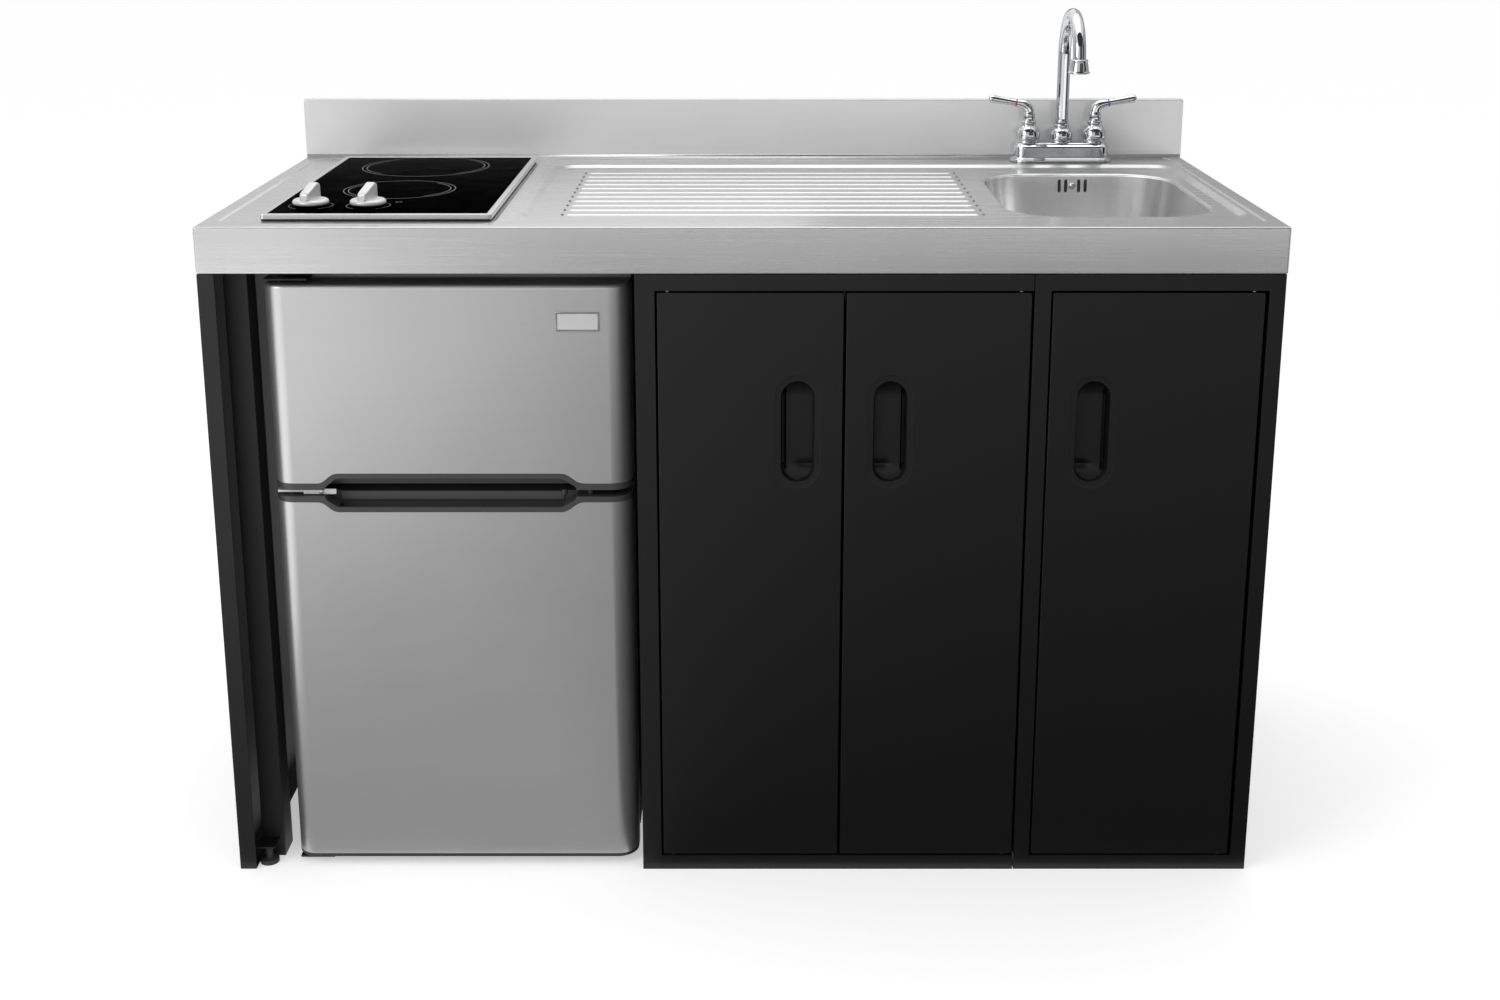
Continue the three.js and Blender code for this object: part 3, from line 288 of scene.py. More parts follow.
def clear_plastic(name, color):
    finish = Finish(name, color, 0.04)
    finish.set({"Transmission Weight": 0.92, "IOR": 1.49})
    finish.rough(finish.noise(20.0), 0.03, 0.09)
    finish.bump(finish.noise(5.0, 1.0), 0.2, 0.15)
    return finish.material


def ceramic_glass(name, color):
    """Nearly black glass with a faint clean reflection at every angle."""
    finish = Finish(name, color, 0.12, 1.0)
    finish.set({"Specular Tint": (0.03, 0.03, 0.03, 1)})
    finish.rough(finish.noise(30.0), 0.10, 0.15)
    finish.bump(finish.noise(300.0, 1.0), 0.002, 0.3)
    return finish.material


# The look's name, its kind, its colour, its roughness and what else its kind asks for.
LOOKS = {
    name: kind(name, *values) for name, kind, *values in (
        ("counter_steel", brushed_metal, (0.665, 0.665, 0.665), 0.25, 0.01, 0.0008, 0.75),
        # The counter's steel made more diffuse and lighter in colour; the lighter colour is painted light
        # for the backsplash's even brightness.
        ("splash_steel", brushed_metal, (0.79, 0.79, 0.79), 0.24, 0.01, 0.0008, 0.24),
        ("bowl_steel", brushed_metal, (0.76, 0.76, 0.76), 0.22, 0.025, 0.003, 0.85),
        ("chrome", polished_metal, (0.62, 0.63, 0.64), 0.04),
        ("door_steel", brushed_metal, (0.585, 0.585, 0.59), 0.36, 0.012, 0.004, 0.86),
        ("black_paint", moulded, (0.0034, 0.0034, 0.0036), 0.5, 1500.0, 0.03),
        ("black_plastic", moulded, (0.03, 0.03, 0.031), 0.42, 1200.0, 0.015),
        ("white_plastic", moulded, (0.78, 0.78, 0.77), 0.35, 400.0, 0.01, 0.0, 0.02),
        ("foam", moulded, (0.72, 0.58, 0.28), 0.9, 500.0, 0.2, 0.0, 0.1),
        ("dark_glass", ceramic_glass, (0.042, 0.042, 0.0425)),
        ("clear_glass", clear_plastic, (0.94, 0.975, 0.97)),
        ("silver", moulded, (0.72, 0.72, 0.73), 0.34, 900.0, 0.008, 0.35, 0.02),
        ("zinc", moulded, (0.46, 0.47, 0.48), 0.4, 250.0, 0.02, 1.0, 0.08),
        ("rubber", moulded, (0.045, 0.045, 0.047), 0.75, 1200.0, 0.03),
        ("trim_steel", brushed_metal, (0.74, 0.74, 0.74), 0.22, 0.01, 0.002, 0.85),
        ("trim_grey", moulded, (0.055, 0.055, 0.057), 0.38, 1200.0, 0.02),
        # This grey serves the hob's print and the painted shade of the dots at the rib ends.
        ("print_grey", moulded, (0.2, 0.2, 0.2), 0.4, 900.0, 0.002),
        ("pocket_grey", moulded, (0.09, 0.09, 0.092), 0.4, 1200.0, 0.02),
        ("mark_red", moulded, (0.42, 0.03, 0.025), 0.35, 900.0, 0.005),
        ("mark_blue", moulded, (0.03, 0.08, 0.36), 0.35, 900.0, 0.005),
    )
}


# -------- outlines, lofts and solids
def grow(pair, by):
    return (pair[0] - by, pair[1] + by)


def around(middle, half):
    return (middle - half, middle + half)


def mid(pair):
    return (pair[0] + pair[1]) / 2


def turns(count):
    """Even angles all round, count of them, from 0 up."""
    return [2 * math.pi * i / count for i in range(count)]


def bend_angles(steps):
    """Angles of a quarter bend, both ends among them."""
    return [math.pi / 2 * i / steps for i in range(steps + 1)]


def smooth_step(t):
    t = min(max(t, 0.0), 1.0)
    return t * t * (3 - 2 * t)


def ramp(t, soft=0.16):
    """Straight slope from 0 to 1 with a short bend at each end."""
    t = min(max(t, 0.0), 1.0)
    rise = 1 / (1 - soft)
    if t < soft:
        return rise * t * t / (2 * soft)
    if t > 1 - soft:
        return 1 - rise * (1 - t) ** 2 / (2 * soft)
    return rise * (t - soft / 2)


def rounded_rect(xs, ys, r, steps, by=0):
    """Anticlockwise outline of a rectangle that is grown by a distance and then rounded with the
    radius r, steps + 1 points to a corner."""
    (left, right), (low, high) = (grow(grow(span, by), -r) for span in (xs, ys))
    centres = [(right, low), (right, high), (left, high), (left, low)]
    points = []
    for corner, (x, y) in enumerate(centres):
        for step in range(steps + 1):
            angle = (corner - 1 + step / steps) * math.pi / 2
            points.append((x + r * math.cos(angle), y + r * math.sin(angle)))
    return points


def fillet(points, radii, steps):
    """A closed outline with each corner rounded by its own radius."""
    rounded = []
    for i, (point, r) in enumerate(zip(points, radii)):
        corner = Vector(point)
        before = Vector(points[i - 1]) - corner
        after = Vector(points[(i + 1) % len(points)]) - corner
        half = before.angle(after) / 2
        back = min(r / math.tan(half), before.length * 0.49, after.length * 0.49) if r else 0
        if back < 1e-6:
            rounded.append(tuple(corner))
            continue
        start = corner + before.normalized() * back
        end = corner + after.normalized() * back
        for step in range(steps + 1):
            t = step / steps
            rounded.append(tuple(start * (1 - t) ** 2 + corner * 2 * t * (1 - t) + end * t * t))
    return rounded


def circle(x, y, r, steps):
    return [(x + r * math.cos(a), y + r * math.sin(a)) for a in turns(steps)]


def level(points, z):
    return [(x, y, z) for x, y in points]


def loft(rings, closed=True, caps=(False, False), flip=False):
    """Skin through rings of equal length; each ring is a list of points."""
    count = len(rings[0])
    vertices = [point for ring in rings for point in ring]
    faces = []
    for row in range(len(rings) - 1):
        for i in range(count if closed else count - 1):
            a = row * count + i
            b = row * count + (i + 1) % count
            faces.append((a, b, b + count, a + count))
    if caps[0]:
        faces.append(tuple(range(count - 1, -1, -1)))
    if caps[1]:
        faces.append(tuple(range((len(rings) - 1) * count, len(rings) * count)))
    if flip:
        faces = [tuple(reversed(face)) for face in faces]
    return vertices, faces


def lathe(profile, x=0.0, y=0.0, segments=48):
    """Body of revolution about an upright axis; the profile is (radius, height) pairs."""
    rings = [level(circle(x, y, max(radius, 0.0002), segments), z) for radius, z in profile]
    return loft(rings, caps=(profile[0][0] < 0.001, profile[-1][0] < 0.001))


def curve_through(points, steps):
    """Catmull-Rom points through the given ones, which may have more than two numbers each."""
    dense = []
    last = len(points) - 1
    for i in range(last):
        p0, p1, p2, p3 = (points[min(max(i + k, 0), last)] for k in (-1, 0, 1, 2))
        for step in range(steps):
            t = step / steps
            dense.append(tuple(
                0.5 * (2 * b + (c - a) * t + (2 * a - 5 * b + 4 * c - d) * t * t
                       + (3 * b - a - 3 * c + d) * t ** 3)
                for a, b, c, d in zip(p0, p1, p2, p3)))
    dense.append(tuple(points[last]))
    return dense


def sweep(path, sides):
    """Closed round tube along a path of (x, y, z, radius)."""
    centres = [Vector(p[:3]) for p in path]
    ahead = (centres[1] - centres[0]).normalized()
    across = ahead.orthogonal().normalized()
    rings = []
    for i, centre in enumerate(centres):
        before = centres[max(i - 1, 0)]
        after = centres[min(i + 1, len(centres) - 1)]
        heading = (after - before).normalized()
        across = (across - heading * across.dot(heading)).normalized()
        other = heading.cross(across)
        spokes = [across * math.cos(a) + other * math.sin(a) for a in turns(sides)]
        rings.append([tuple(centre + spoke * path[i][3]) for spoke in spokes])
    return loft(rings, caps=(True, True))


def prism(outline, axis, low, high):
    """Closed prism along axis; the outline lies in XY for z, in XZ for y and in YZ for x."""
    order = {"x": (2, 0, 1), "y": (0, 2, 1), "z": (0, 1, 2)}[axis]
    ends = [[[(u, v, w)[k] for k in order] for u, v in outline] for w in (low, high)]
    count = len(outline)
    faces = [tuple(range(count - 1, -1, -1)), tuple(range(count, 2 * count))]
    faces += [(i, (i + 1) % count, (i + 1) % count + count, i + count) for i in range(count)]
    return ends[0] + ends[1], faces


def block(xs, ys, zs):
    return prism([(xs[0], ys[0]), (xs[1], ys[0]), (xs[1], ys[1]), (xs[0], ys[1])], "z", *zs)


def pressed(contours, keep):
    """Sheet over outlines in a plane. Each outline is (points, heights, closed), where heights is
    one number or one for each point. keep says of a place whether the sheet is there."""
    points, heights, edges = [], [], []
    for outline, height, closed in contours:
        first = len(points)
        count = len(outline)
        points.extend(Vector(p[:2]) for p in outline)
        heights.extend(height if isinstance(height, list) else [height] * count)
        last = count if closed else count - 1
        edges.extend((first + i, first + (i + 1) % count) for i in range(last))
    flat, _, triangles, origins, _, _ = delaunay_2d_cdt(points, edges, [], 0, 1e-4)
    vertices = [(p.x, p.y, heights[origins[i][0]]) for i, p in enumerate(flat)]
    faces = []
    for face in triangles:
        (ax, ay, _), (bx, by, _), (cx, cy, _) = (vertices[i] for i in face)
        if keep((ax + bx + cx) / 3, (ay + by + cy) / 3):
            turn = (bx - ax) * (cy - ay) - (by - ay) * (cx - ax)
            faces.append(tuple(face) if turn > 0 else tuple(reversed(face)))
    return vertices, faces


# -------- meshes and pieces
REPLACED = set()


def shade(mesh, angle=32.0):
    mesh.polygons.foreach_set("use_smooth", [True] * len(mesh.polygons))
    mesh.set_sharp_from_angle(angle=math.radians(angle))
    mesh.update()


def build(name, *parts, outward=True, angle=32.0):
    """One mesh in metres from parts in millimetres, with points that coincide merged."""
    work = bmesh.new()
    for vertices, faces in parts:
        points = [work.verts.new([c * MM for c in vertex]) for vertex in vertices]
        for face in faces:
            corners = [points[i] for i in face]
            if len(set(corners)) > 2:
                work.faces.new(corners)
    bmesh.ops.remove_doubles(work, verts=work.verts, dist=0.0015 * MM)
    bmesh.ops.dissolve_degenerate(work, edges=work.edges, dist=0.001 * MM)
    if outward:
        bmesh.ops.recalc_face_normals(work, faces=work.faces)
    mesh = bpy.data.meshes.new(name)
    work.to_mesh(mesh)
    work.free()
    shade(mesh, angle)
    return mesh


def combine(mesh, tool, operation="DIFFERENCE"):
    """Boolean of two closed meshes; both are used up."""
    body = add_object("work_body", mesh)
    other = add_object("work_tool", tool)
    step = body.modifiers.new("cut", "BOOLEAN")
    step.operation = operation
    step.solver = "EXACT"
    step.object = other
    graph = bpy.context.evaluated_depsgraph_get()
    result = bpy.data.meshes.new_from_object(body.evaluated_get(graph))
    for item in (body, other):
        data = item.data
        bpy.data.objects.remove(item)
        bpy.data.meshes.remove(data)
    result.name = "solid"
    return result


def cut(mesh, tools, angle=32.0):
    """The mesh with each closed part in tools taken away."""
    for tool in tools:
        mesh = combine(mesh, build("tool", tool))
    shade(mesh, angle)
    return mesh


def thicken(piece, thickness_mm, offset=-1.0):
    """Gives a mesh that is one face of a sheet its thickness; offset says to which side."""
    shell = piece.modifiers.new("sheet", "SOLIDIFY")
    shell.thickness = thickness_mm * MM
    shell.offset = offset
    shell.use_even_offset = True


def ease(piece, width_mm, segments, angle=40.0):
    bevel = piece.modifiers.new("bevel", "BEVEL")
    bevel.width = width_mm * MM
    bevel.segments = segments
    bevel.limit_method = "ANGLE"
    bevel.angle_limit = math.radians(angle)


def add_piece(name, mesh, look, body, replaces=(), sheet=None, bevel=None, weigh=True):
    """Puts a mesh in metres into the scene, riding on a CAD body. sheet and bevel are what thicken
    and ease ask for; weigh says whether normals follow the larger faces."""
    piece = add_object(name, mesh)
    if not mesh.materials:
        mesh.materials.append(LOOKS[look])
    if sheet:
        thicken(piece, *sheet)
    if bevel:
        ease(piece, *bevel)
    if weigh:
        normal = piece.modifiers.new("normals", "WEIGHTED_NORMAL")
        normal.keep_sharp = True
    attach(piece, body)
    if replaces:
        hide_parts(*replaces)
        REPLACED.update(replaces)


def add_solid(name, parts, look, body, replaces=(), angle=32.0, **options):
    """A piece straight from one part or a list of them; the options are those of add_piece."""
    parts = parts if isinstance(parts, list) else [parts]
    add_piece(name, build(name, *parts, angle=angle), look, body, replaces, **options)


def add_softened(node, width=0.6, segments=2, look=None):
    """A CAD node's own shape with its edges eased, in place of the node."""
    work = bmesh.new()
    work.from_mesh(NODES[node].data)
    bmesh.ops.remove_doubles(work, verts=work.verts, dist=1e-6)
    bmesh.ops.dissolve_limit(
        work, angle_limit=math.radians(1.0), verts=work.verts, edges=work.edges, delimit={"NORMAL"})
    mesh = bpy.data.meshes.new(node + "_look")
    work.to_mesh(mesh)
    work.free()
    mesh.materials.clear()
    shade(mesh)
    bevel = (width, segments)
    add_piece(node + "_look", mesh, look or SLOT_OF[node], BODY_OF[node], (node,), bevel=bevel)


def add_cross_screw(name, profile, place, slot, slot_ys):
    """A screw head that faces the user, with two crossed slots; slot is their half width and half
    length and slot_ys how far in they reach."""
    x, y, z = place
    vertices, faces = lathe(profile, segments=28)
    turned = [(x + u, y - w, z + v) for u, v, w in vertices]
    slots = [block(around(x, a), slot_ys, around(z, b)) for a, b in (slot, slot[::-1])]
    add_piece(name, cut(build(name, (turned, faces)), slots), "chrome", "unit")


# -------- worktop and backsplash
UNIT_XS, UNIT_YS = (-686, 686), (-305, 305)
TOP_XS, TOP_YS = (-683.4, 683.4), (-302.4, 302.4)
# The levels of the top, of its two shallow recesses and of the deeper one for ribs and bowl.
COUNTER, SHALLOW, FIELD = 889.0, 887.2, 882.0
HOB_RECESS = ((-668, -312), (-281, 293))
WET_RECESS = ((-298, 668), (-281, 301.5))
SINK_RECESS = ((-290, 661), (-229, 238))
HOB_OPENING = ((-603, -331), (-243, 245))
RIB_XS, RIB_FOOT, RIB_RISE = (-233, 313), 5.6, 1.5
RIB_YS = [-178 + 35.5 * i for i in range(11)]
BOWL_XS, BOWL_YS, BOWL_R = (354, 629), (-188, 173), 75
SPLASH_TOP, SPLASH_FOOT, SPLASH_R, SPLASH_FOLD = 981, 889.3, 5.0, 4
SPLASH_FRONT, SPLASH_BACK = 298, 305
COVE_R, COVE_FOOT = 6.6, 887.3


def is_inside(x, y, xs, ys, r=0):
    """Whether a place lies in a rounded rectangle."""
    dx = max(xs[0] + r - x, 0, x - (xs[1] - r))
    dy = max(ys[0] + r - y, 0, y - (ys[1] - r))
    return (r == 0 or dx * dx + dy * dy < r * r) and xs[0] < x < xs[1] and ys[0] < y < ys[1]


def bowl_outline(out, steps):
    return rounded_rect(BOWL_XS, BOWL_YS, BOWL_R + out, steps, out)


def slope_contours(recess, r, top, floor, width, steps):
    """Outlines from the brim of a pressed recess down to its floor, inwards from the brim."""
    rows = []
    for i in range(steps + 1):
        t = i / steps
        inset = -width * t
        outline = rounded_rect(*recess, r + inset, 10, inset)
        rows.append((outline, top + (floor - top) * ramp(t), True))
    return rows


def rib_contours(y):
    """Outlines of one drainer rib from its foot up, and the line of its crown."""
    rows = []
    for half, rise in ((RIB_FOOT, 0.0), (4.8, 0.14), (3.8, 0.62), (2.7, 1.12), (1.5, 1.42)):
        outline = rounded_rect(grow(RIB_XS, half - RIB_FOOT), around(y, half), half * 0.98, 6)
        rows.append((outline, FIELD + rise, True))
    crown = [(RIB_XS[0] + 6, y), (mid(RIB_XS), y), (RIB_XS[1] - 6, y)]
    rows.append((crown, FIELD + RIB_RISE, False))
    return rows


def worktop_sheet(outer):
    """The pressed top, with its recesses and ribs, the hob's opening and the bowl's brim."""
    rows = [(outer, COUNTER, True)]
    rows += slope_contours(HOB_RECESS, 26, COUNTER, SHALLOW, 5, 5)
    rows += slope_contours(WET_RECESS, 26, COUNTER, SHALLOW, 5, 5)
    rows += slope_contours(SINK_RECESS, 40, SHALLOW, FIELD, 13, 7)
    rows.append((rounded_rect(*HOB_OPENING, 2, 3), SHALLOW, True))
    for y in RIB_YS:
        rows += rib_contours(y)
    for out, drop in ((6.0, 0.0), (4.2, 0.12), (2.8, 0.5), (1.6, 1.25), (0.7, 2.3), (0.2, 3.5)):
        rows.append((bowl_outline(out, 14), FIELD - drop, True))

    def keep(x, y):
        brim = 0.2
        in_bowl = is_inside(x, y, grow(BOWL_XS, brim), grow(BOWL_YS, brim), BOWL_R + brim)
        return not is_inside(x, y, *HOB_OPENING) and not in_bowl

    return pressed(rows, keep)


def make_worktop():
    outer = rounded_rect(TOP_XS, TOP_YS, 0.8, 4)
    rings = [level(outer, COUNTER)]
    edge = [
        (1.5, 888.72), (0.75, 888.2), (0.2, 887.4), (0, 886.4),
        (0, 831), (0.4, 829.8), (1.4, 829.2), (16, 829.2),
    ]
    for inset, z in edge:
        rings.append(level(rounded_rect(UNIT_XS, UNIT_YS, max(3.4 - inset, 0.5), 4, -inset), z))
    mesh = build("worktop_look", worktop_sheet(outer), loft(rings, flip=True), outward=False)
    add_piece("worktop_look", mesh, "counter_steel", "unit", ("worktop",), sheet=(1.3,))


def make_rib_end_shade_dots():
    """Small dark studs just beyond both ends of every drainer rib, painted shade for the shadowed dents
    at the rib ends.
    """
    dome = [(0, FIELD + 1.7), (1.0, FIELD + 1.5), (1.7, FIELD + 0.9), (2.0, FIELD), (0, FIELD)]
    dots = [lathe(dome, x, y, 14) for x in grow(RIB_XS, 4) for y in RIB_YS]
    # Painted shade: the studs take the grey of the hob's print to darken the rib ends.
    add_solid("rib_end_shade_dots", dots, "print_grey", "unit", angle=60, weigh=False)


def splash_outline(inset, y):
    """The backsplash seen from the front, inset all round but for its foot."""
    x0, x1 = grow(UNIT_XS, -inset[0])
    r = SPLASH_R - inset[0]
    z = SPLASH_TOP - inset[1]
    right = [(x1 - r + r * math.cos(a), z - r + r * math.sin(a)) for a in bend_angles(8)]
    left = [(-x, up) for x, up in reversed(right)]
    return [(x, y, up) for x, up in [(x1, SPLASH_FOOT), *right, *left, (x0, SPLASH_FOOT)]]


def make_backsplash():
    """The upright sheet with its rounded fold, and the small cove at its foot."""
    rings = []
    for a in bend_angles(6):
        back = 1 - math.sin(a)
        y = SPLASH_FRONT + SPLASH_FOLD * (1 - math.cos(a))
        rings.append(splash_outline((1.2 * back, SPLASH_FOLD * back), y))
    rings += [splash_outline((0, 0), SPLASH_BACK - 0.6), splash_outline((0.6, 0.6), SPLASH_BACK)]
    # The backsplash takes the lighter steel copy, painted light for its even brightness.
    add_solid("backsplash_look", loft(rings, caps=(True, True)), "splash_steel", "unit", ("backsplash",))
    cove = []
    for a in bend_angles(6):
        y = SPLASH_FRONT + 0.05 - COVE_R * (1 - math.sin(a))
        z = COVE_FOOT + COVE_R * (1 - math.cos(a))
        cove.append([(x, y, z) for x in grow(UNIT_XS, -1.5)])
    mesh = build("backsplash_bend", loft(cove, closed=False), outward=False)
    add_piece("backsplash_bend", mesh, "counter_steel", "unit", sheet=(0.25, 1.0), weigh=False)


# -------- sink
FLANGE_Z, BOWL_FLOOR, BOWL_SHEET = 879.4, 740.4, 1.2
DRAIN_X, DRAIN_Y, DRAIN_R = 492, -8, 43.2
OVERFLOW_X, OVERFLOW_Z, OVERFLOW_DX = 495, 864, 9.8


def bowl_rings():
    """Rings of the bowl's inner face: flange, wall, and floor as far as the drain."""
    rings = [level(bowl_outline(out, 12), FLANGE_Z) for out in (11, 0.8)]
    profile = curve_through([
        (0.2, 878.6), (0.9, 868), (2.2, 850), (4.4, 825), (7.2, 800), (10, 779), (13.5, 765),
        (18, 755.5), (25, 748), (34, 743.4), (45, 741.2), (56, BOWL_FLOOR),
    ], 4)
    for inset, z in profile:
        outline = rounded_rect(BOWL_XS, BOWL_YS, BOWL_R - 0.6 * inset, 12, -inset)
        rings.append(level(outline, z))
    for t in (0.25, 0.5, 0.75, 1.0):
        ring = []
        for x, y in outline:
            away = math.hypot(x - DRAIN_X, y - DRAIN_Y)
            reach = away * (1 - t) + DRAIN_R * t
            ring.append((DRAIN_X + (x - DRAIN_X) / away * reach, DRAIN_Y + (y - DRAIN_Y) / away * reach,
                         BOWL_FLOOR - 0.9 * smooth_step(t)))
        rings.append(ring)
    return rings


def sheet_back(rings):
    """The bowl's rings on the outer face of its sheet, from the drain back to the flange. The two
    rings of the flange and the last six, on the floor, are only lowered."""
    cx, cy = mid(BOWL_XS), mid(BOWL_YS)
    backs = []
    for row, ring in enumerate(rings):
        flat = row < 2 or row >= len(rings) - 6
        side, drop = (0, BOWL_SHEET) if flat else (BOWL_SHEET, BOWL_SHEET * 0.4)
        moved = []
        for x, y, z in ring:
            away = math.hypot(x - cx, y - cy)
            moved.append((x + (x - cx) / away * side, y + (y - cy) / away * side, z - drop))
        backs.append(moved)
    return backs[::-1]


def make_bowl():
    rings = bowl_rings()
    mesh = build("sink_bowl_look", loft(rings + sheet_back(rings) + [rings[0]]))
    slots = []
    for place in (-2, -1, 1, 2):
        x = OVERFLOW_X + place * OVERFLOW_DX
        slot = rounded_rect(around(x, 2.4), around(OVERFLOW_Z, 9.5), 2.3, 5)
        slots.append(prism(slot, "y", 160, 180))
    add_piece("sink_bowl_look", cut(mesh, slots, 35), "bowl_steel", "unit", ("sink_bowl",))


def make_overflow():
    """A dark sheet behind the slots, painted shade for the dark inside of the overflow, and the screw
    between them.
    """
    # Painted shade: this dark sheet makes the slots look black.
    dark = block(around(OVERFLOW_X, 27), (174.4, 175.2), around(OVERFLOW_Z, 13))
    add_solid("overflow_painted_shade", dark, "black_plastic", "unit")
    head = [(0, 3.0), (2.4, 2.8), (4.2, 1.8), (5.2, 0.4), (5.4, -1.0), (0, -1.0)]
    add_cross_screw("overflow_screw", head, (OVERFLOW_X, 171.6, OVERFLOW_Z), (1.1, 2.6), (166, 170.2))


def make_strainer():
    profile = [
        (42.6, 739.4), (42.2, 738), (40.4, 735.5), (40, 731), (40, 708), (36, 705), (24, 701),
        (19.6, 698), (19.5, 676), (17.2, 676), (17.2, 695), (22, 699.2), (34, 703), (41.2, 706),
        (42.2, 712), (42.4, 738), (44, 740.9), (47, 741.5), (53, 741.6), (56.2, 741.0),
        (56.8, 740.0), (42.6, 739.6),
    ]
    body = lathe(profile, DRAIN_X, DRAIN_Y, 56)
    add_solid("strainer_body_look", body, "chrome", "unit", ("strainer_body",))


def make_basket():
    """The lifting cup of the strainer: rings of drain holes and a knob to hold it by."""
    cup = lathe([
        (0, 713.6), (20, 713.4), (31, 714.2), (33.4, 717), (35.2, 728), (37, 736.6), (38.8, 737.6),
        (38.6, 738.6), (36.2, 738.4), (34, 729), (32.2, 718.4), (30.4, 715.6), (20, 714.9), (0, 715.1),
    ], DRAIN_X, DRAIN_Y, 56)
    holes = []
    for radius, count in ((11, 6), (18, 10), (25.5, 14)):
        for x, y in circle(DRAIN_X, DRAIN_Y, radius, count):
            holes.append(prism(circle(x, y, 1.9, 12), "z", 705, 722))
    mesh = cut(build("basket", cup), holes)
    add_piece("strainer_basket_look", mesh, "chrome", "basket", ("strainer_basket",))
    knob = lathe([
        (0, 712.6), (3.4, 712.8), (3.2, 738), (4.4, 741), (8.2, 743.6), (9, 746), (8.2, 748.8),
        (5, 750.3), (0, 750.5),
    ], DRAIN_X, DRAIN_Y, 32)
    add_solid("basket_knob", knob, "chrome", "basket")


# -------- faucet
FAUCET_X, FAUCET_Y, HANDLE_OFF = 492, 269, 51
SPOUT_R, SPOUT_BEND, SPOUT_TOP = 9.6, 64.5, 1116
OUTLET_Y = FAUCET_Y - 129
PLATE_HALF_X, PLATE_R = 79, 24


def make_faucet_plate():
    steps = [
        (0.6, 887.5), (0, 888.2), (0, 890.6), (0.5, 891.8), (1.6, 892.6), (3.2, 893.1), (4.6, 894.2),
        (5.0, 895.6), (5.0, 909), (5.4, 911), (6.6, 912.6), (8.4, 913.8), (8.9, 915.2), (9.8, 916.4),
        (11.6, 917.3), (14, 917.6),
    ]
    xs, ys = around(FAUCET_X, PLATE_HALF_X), around(FAUCET_Y, PLATE_R)
    rings = [level(rounded_rect(xs, ys, PLATE_R - i - 0.01, 14, -i), z) for i, z in steps]
    plate = loft(rings, caps=(True, True))
    add_solid("faucet_plate_look", plate, "chrome", "unit", ("faucet_body",), 50)


def make_bonnets():
    """The towers below the two handles and the spout, and the shanks below the plate."""
    bonnet = [
        (0, 916), (16.2, 916), (17.2, 916.8), (17.4, 918.4), (16.4, 919.6), (16.2, 920.6), (17.6, 922.4),
        (18.4, 926), (18.3, 930), (17, 935), (14.4, 939.4), (11.6, 941.8), (10.6, 943), (10.4, 944.6),
        (11.2, 945.6), (11.6, 947.2), (11.4, 949), (10.4, 950.4), (9.6, 951.2), (9.5, 955.6), (8, 956),
        (0, 956),
    ]
    hub = [
        (0, 916), (15.6, 916), (16.6, 916.8), (16.8, 918.4), (15.8, 919.6), (15.6, 920.4), (16.8, 922),
        (17.4, 925.4), (17.2, 929), (15.8, 933.4), (13.4, 936.6), (11.6, 938.4), (11, 940), (11.6, 941.2),
        (12, 942.8), (11.6, 944.6), (10.6, 945.9), (0, 946),
    ]
    towers = (("hot_bonnet", -1, bonnet), ("spout_hub", 0, hub), ("cold_bonnet", 1, bonnet))
    for name, side, profile in towers:
        tower = lathe(profile, FAUCET_X + side * HANDLE_OFF, FAUCET_Y, 56)
        add_solid(name, tower, "chrome", "unit", angle=50)
    shank = [(0, 838), (9.4, 838), (10.1, 839), (10.1, 888), (0, 888)]
    for name, side in (("shank_left", -1), ("shank_right", 1)):
        add_solid(name, lathe(shank, FAUCET_X + side * HANDLE_OFF, FAUCET_Y, 32), "chrome", "unit")


def make_spout():
    """A tube with a collar at its foot that rises, bends over in a half circle and ends downwards."""
    steps = 32
    foot = [(946.3, 9.3), (947.6, 10.4), (949.6, 10.6), (951.4, 9.9), (956, 9.7)]
    path = [(FAUCET_X, FAUCET_Y, z, r) for z, r in foot + [(990, SPOUT_R), (1025, SPOUT_R)]]
    centre = SPOUT_TOP - SPOUT_BEND
    for i in range(steps + 1):
        angle = math.pi * i / steps
        y = FAUCET_Y - SPOUT_BEND + SPOUT_BEND * math.cos(angle)
        path.append((FAUCET_X, y, centre + SPOUT_BEND * math.sin(angle), SPOUT_R))
    path.append((FAUCET_X, OUTLET_Y, centre - 4, SPOUT_R))
    add_solid("spout_look", sweep(path, steps), "chrome", "spout_assembly", ("spout",), 60)


def make_aerator():
    """The bell at the spout's end and the dark screen in it."""
    bell = [
        (0, 1047), (8.6, 1047), (8.8, 1037), (13.6, 1036.4), (14.8, 1035.2), (15.8, 1035.6),
        (16.1, 1036.8), (15.4, 1038), (14.2, 1039.4), (13.8, 1044), (13, 1049), (12.3, 1052),
        (12.8, 1053), (12.9, 1054.4), (12.2, 1055.6), (10.8, 1056.2), (9.8, 1056.2),
    ]
    shell = lathe(bell, FAUCET_X, OUTLET_Y, 56)
    add_solid("aerator_look", shell, "chrome", "spout_assembly", ("aerator",), 50)
    screen = lathe([(0, 1040.6), (8.7, 1040.6), (8.7, 1041.6), (0, 1041.6)], FAUCET_X, OUTLET_Y, 32)
    add_solid("aerator_screen", screen, "black_plastic", "spout_assembly")


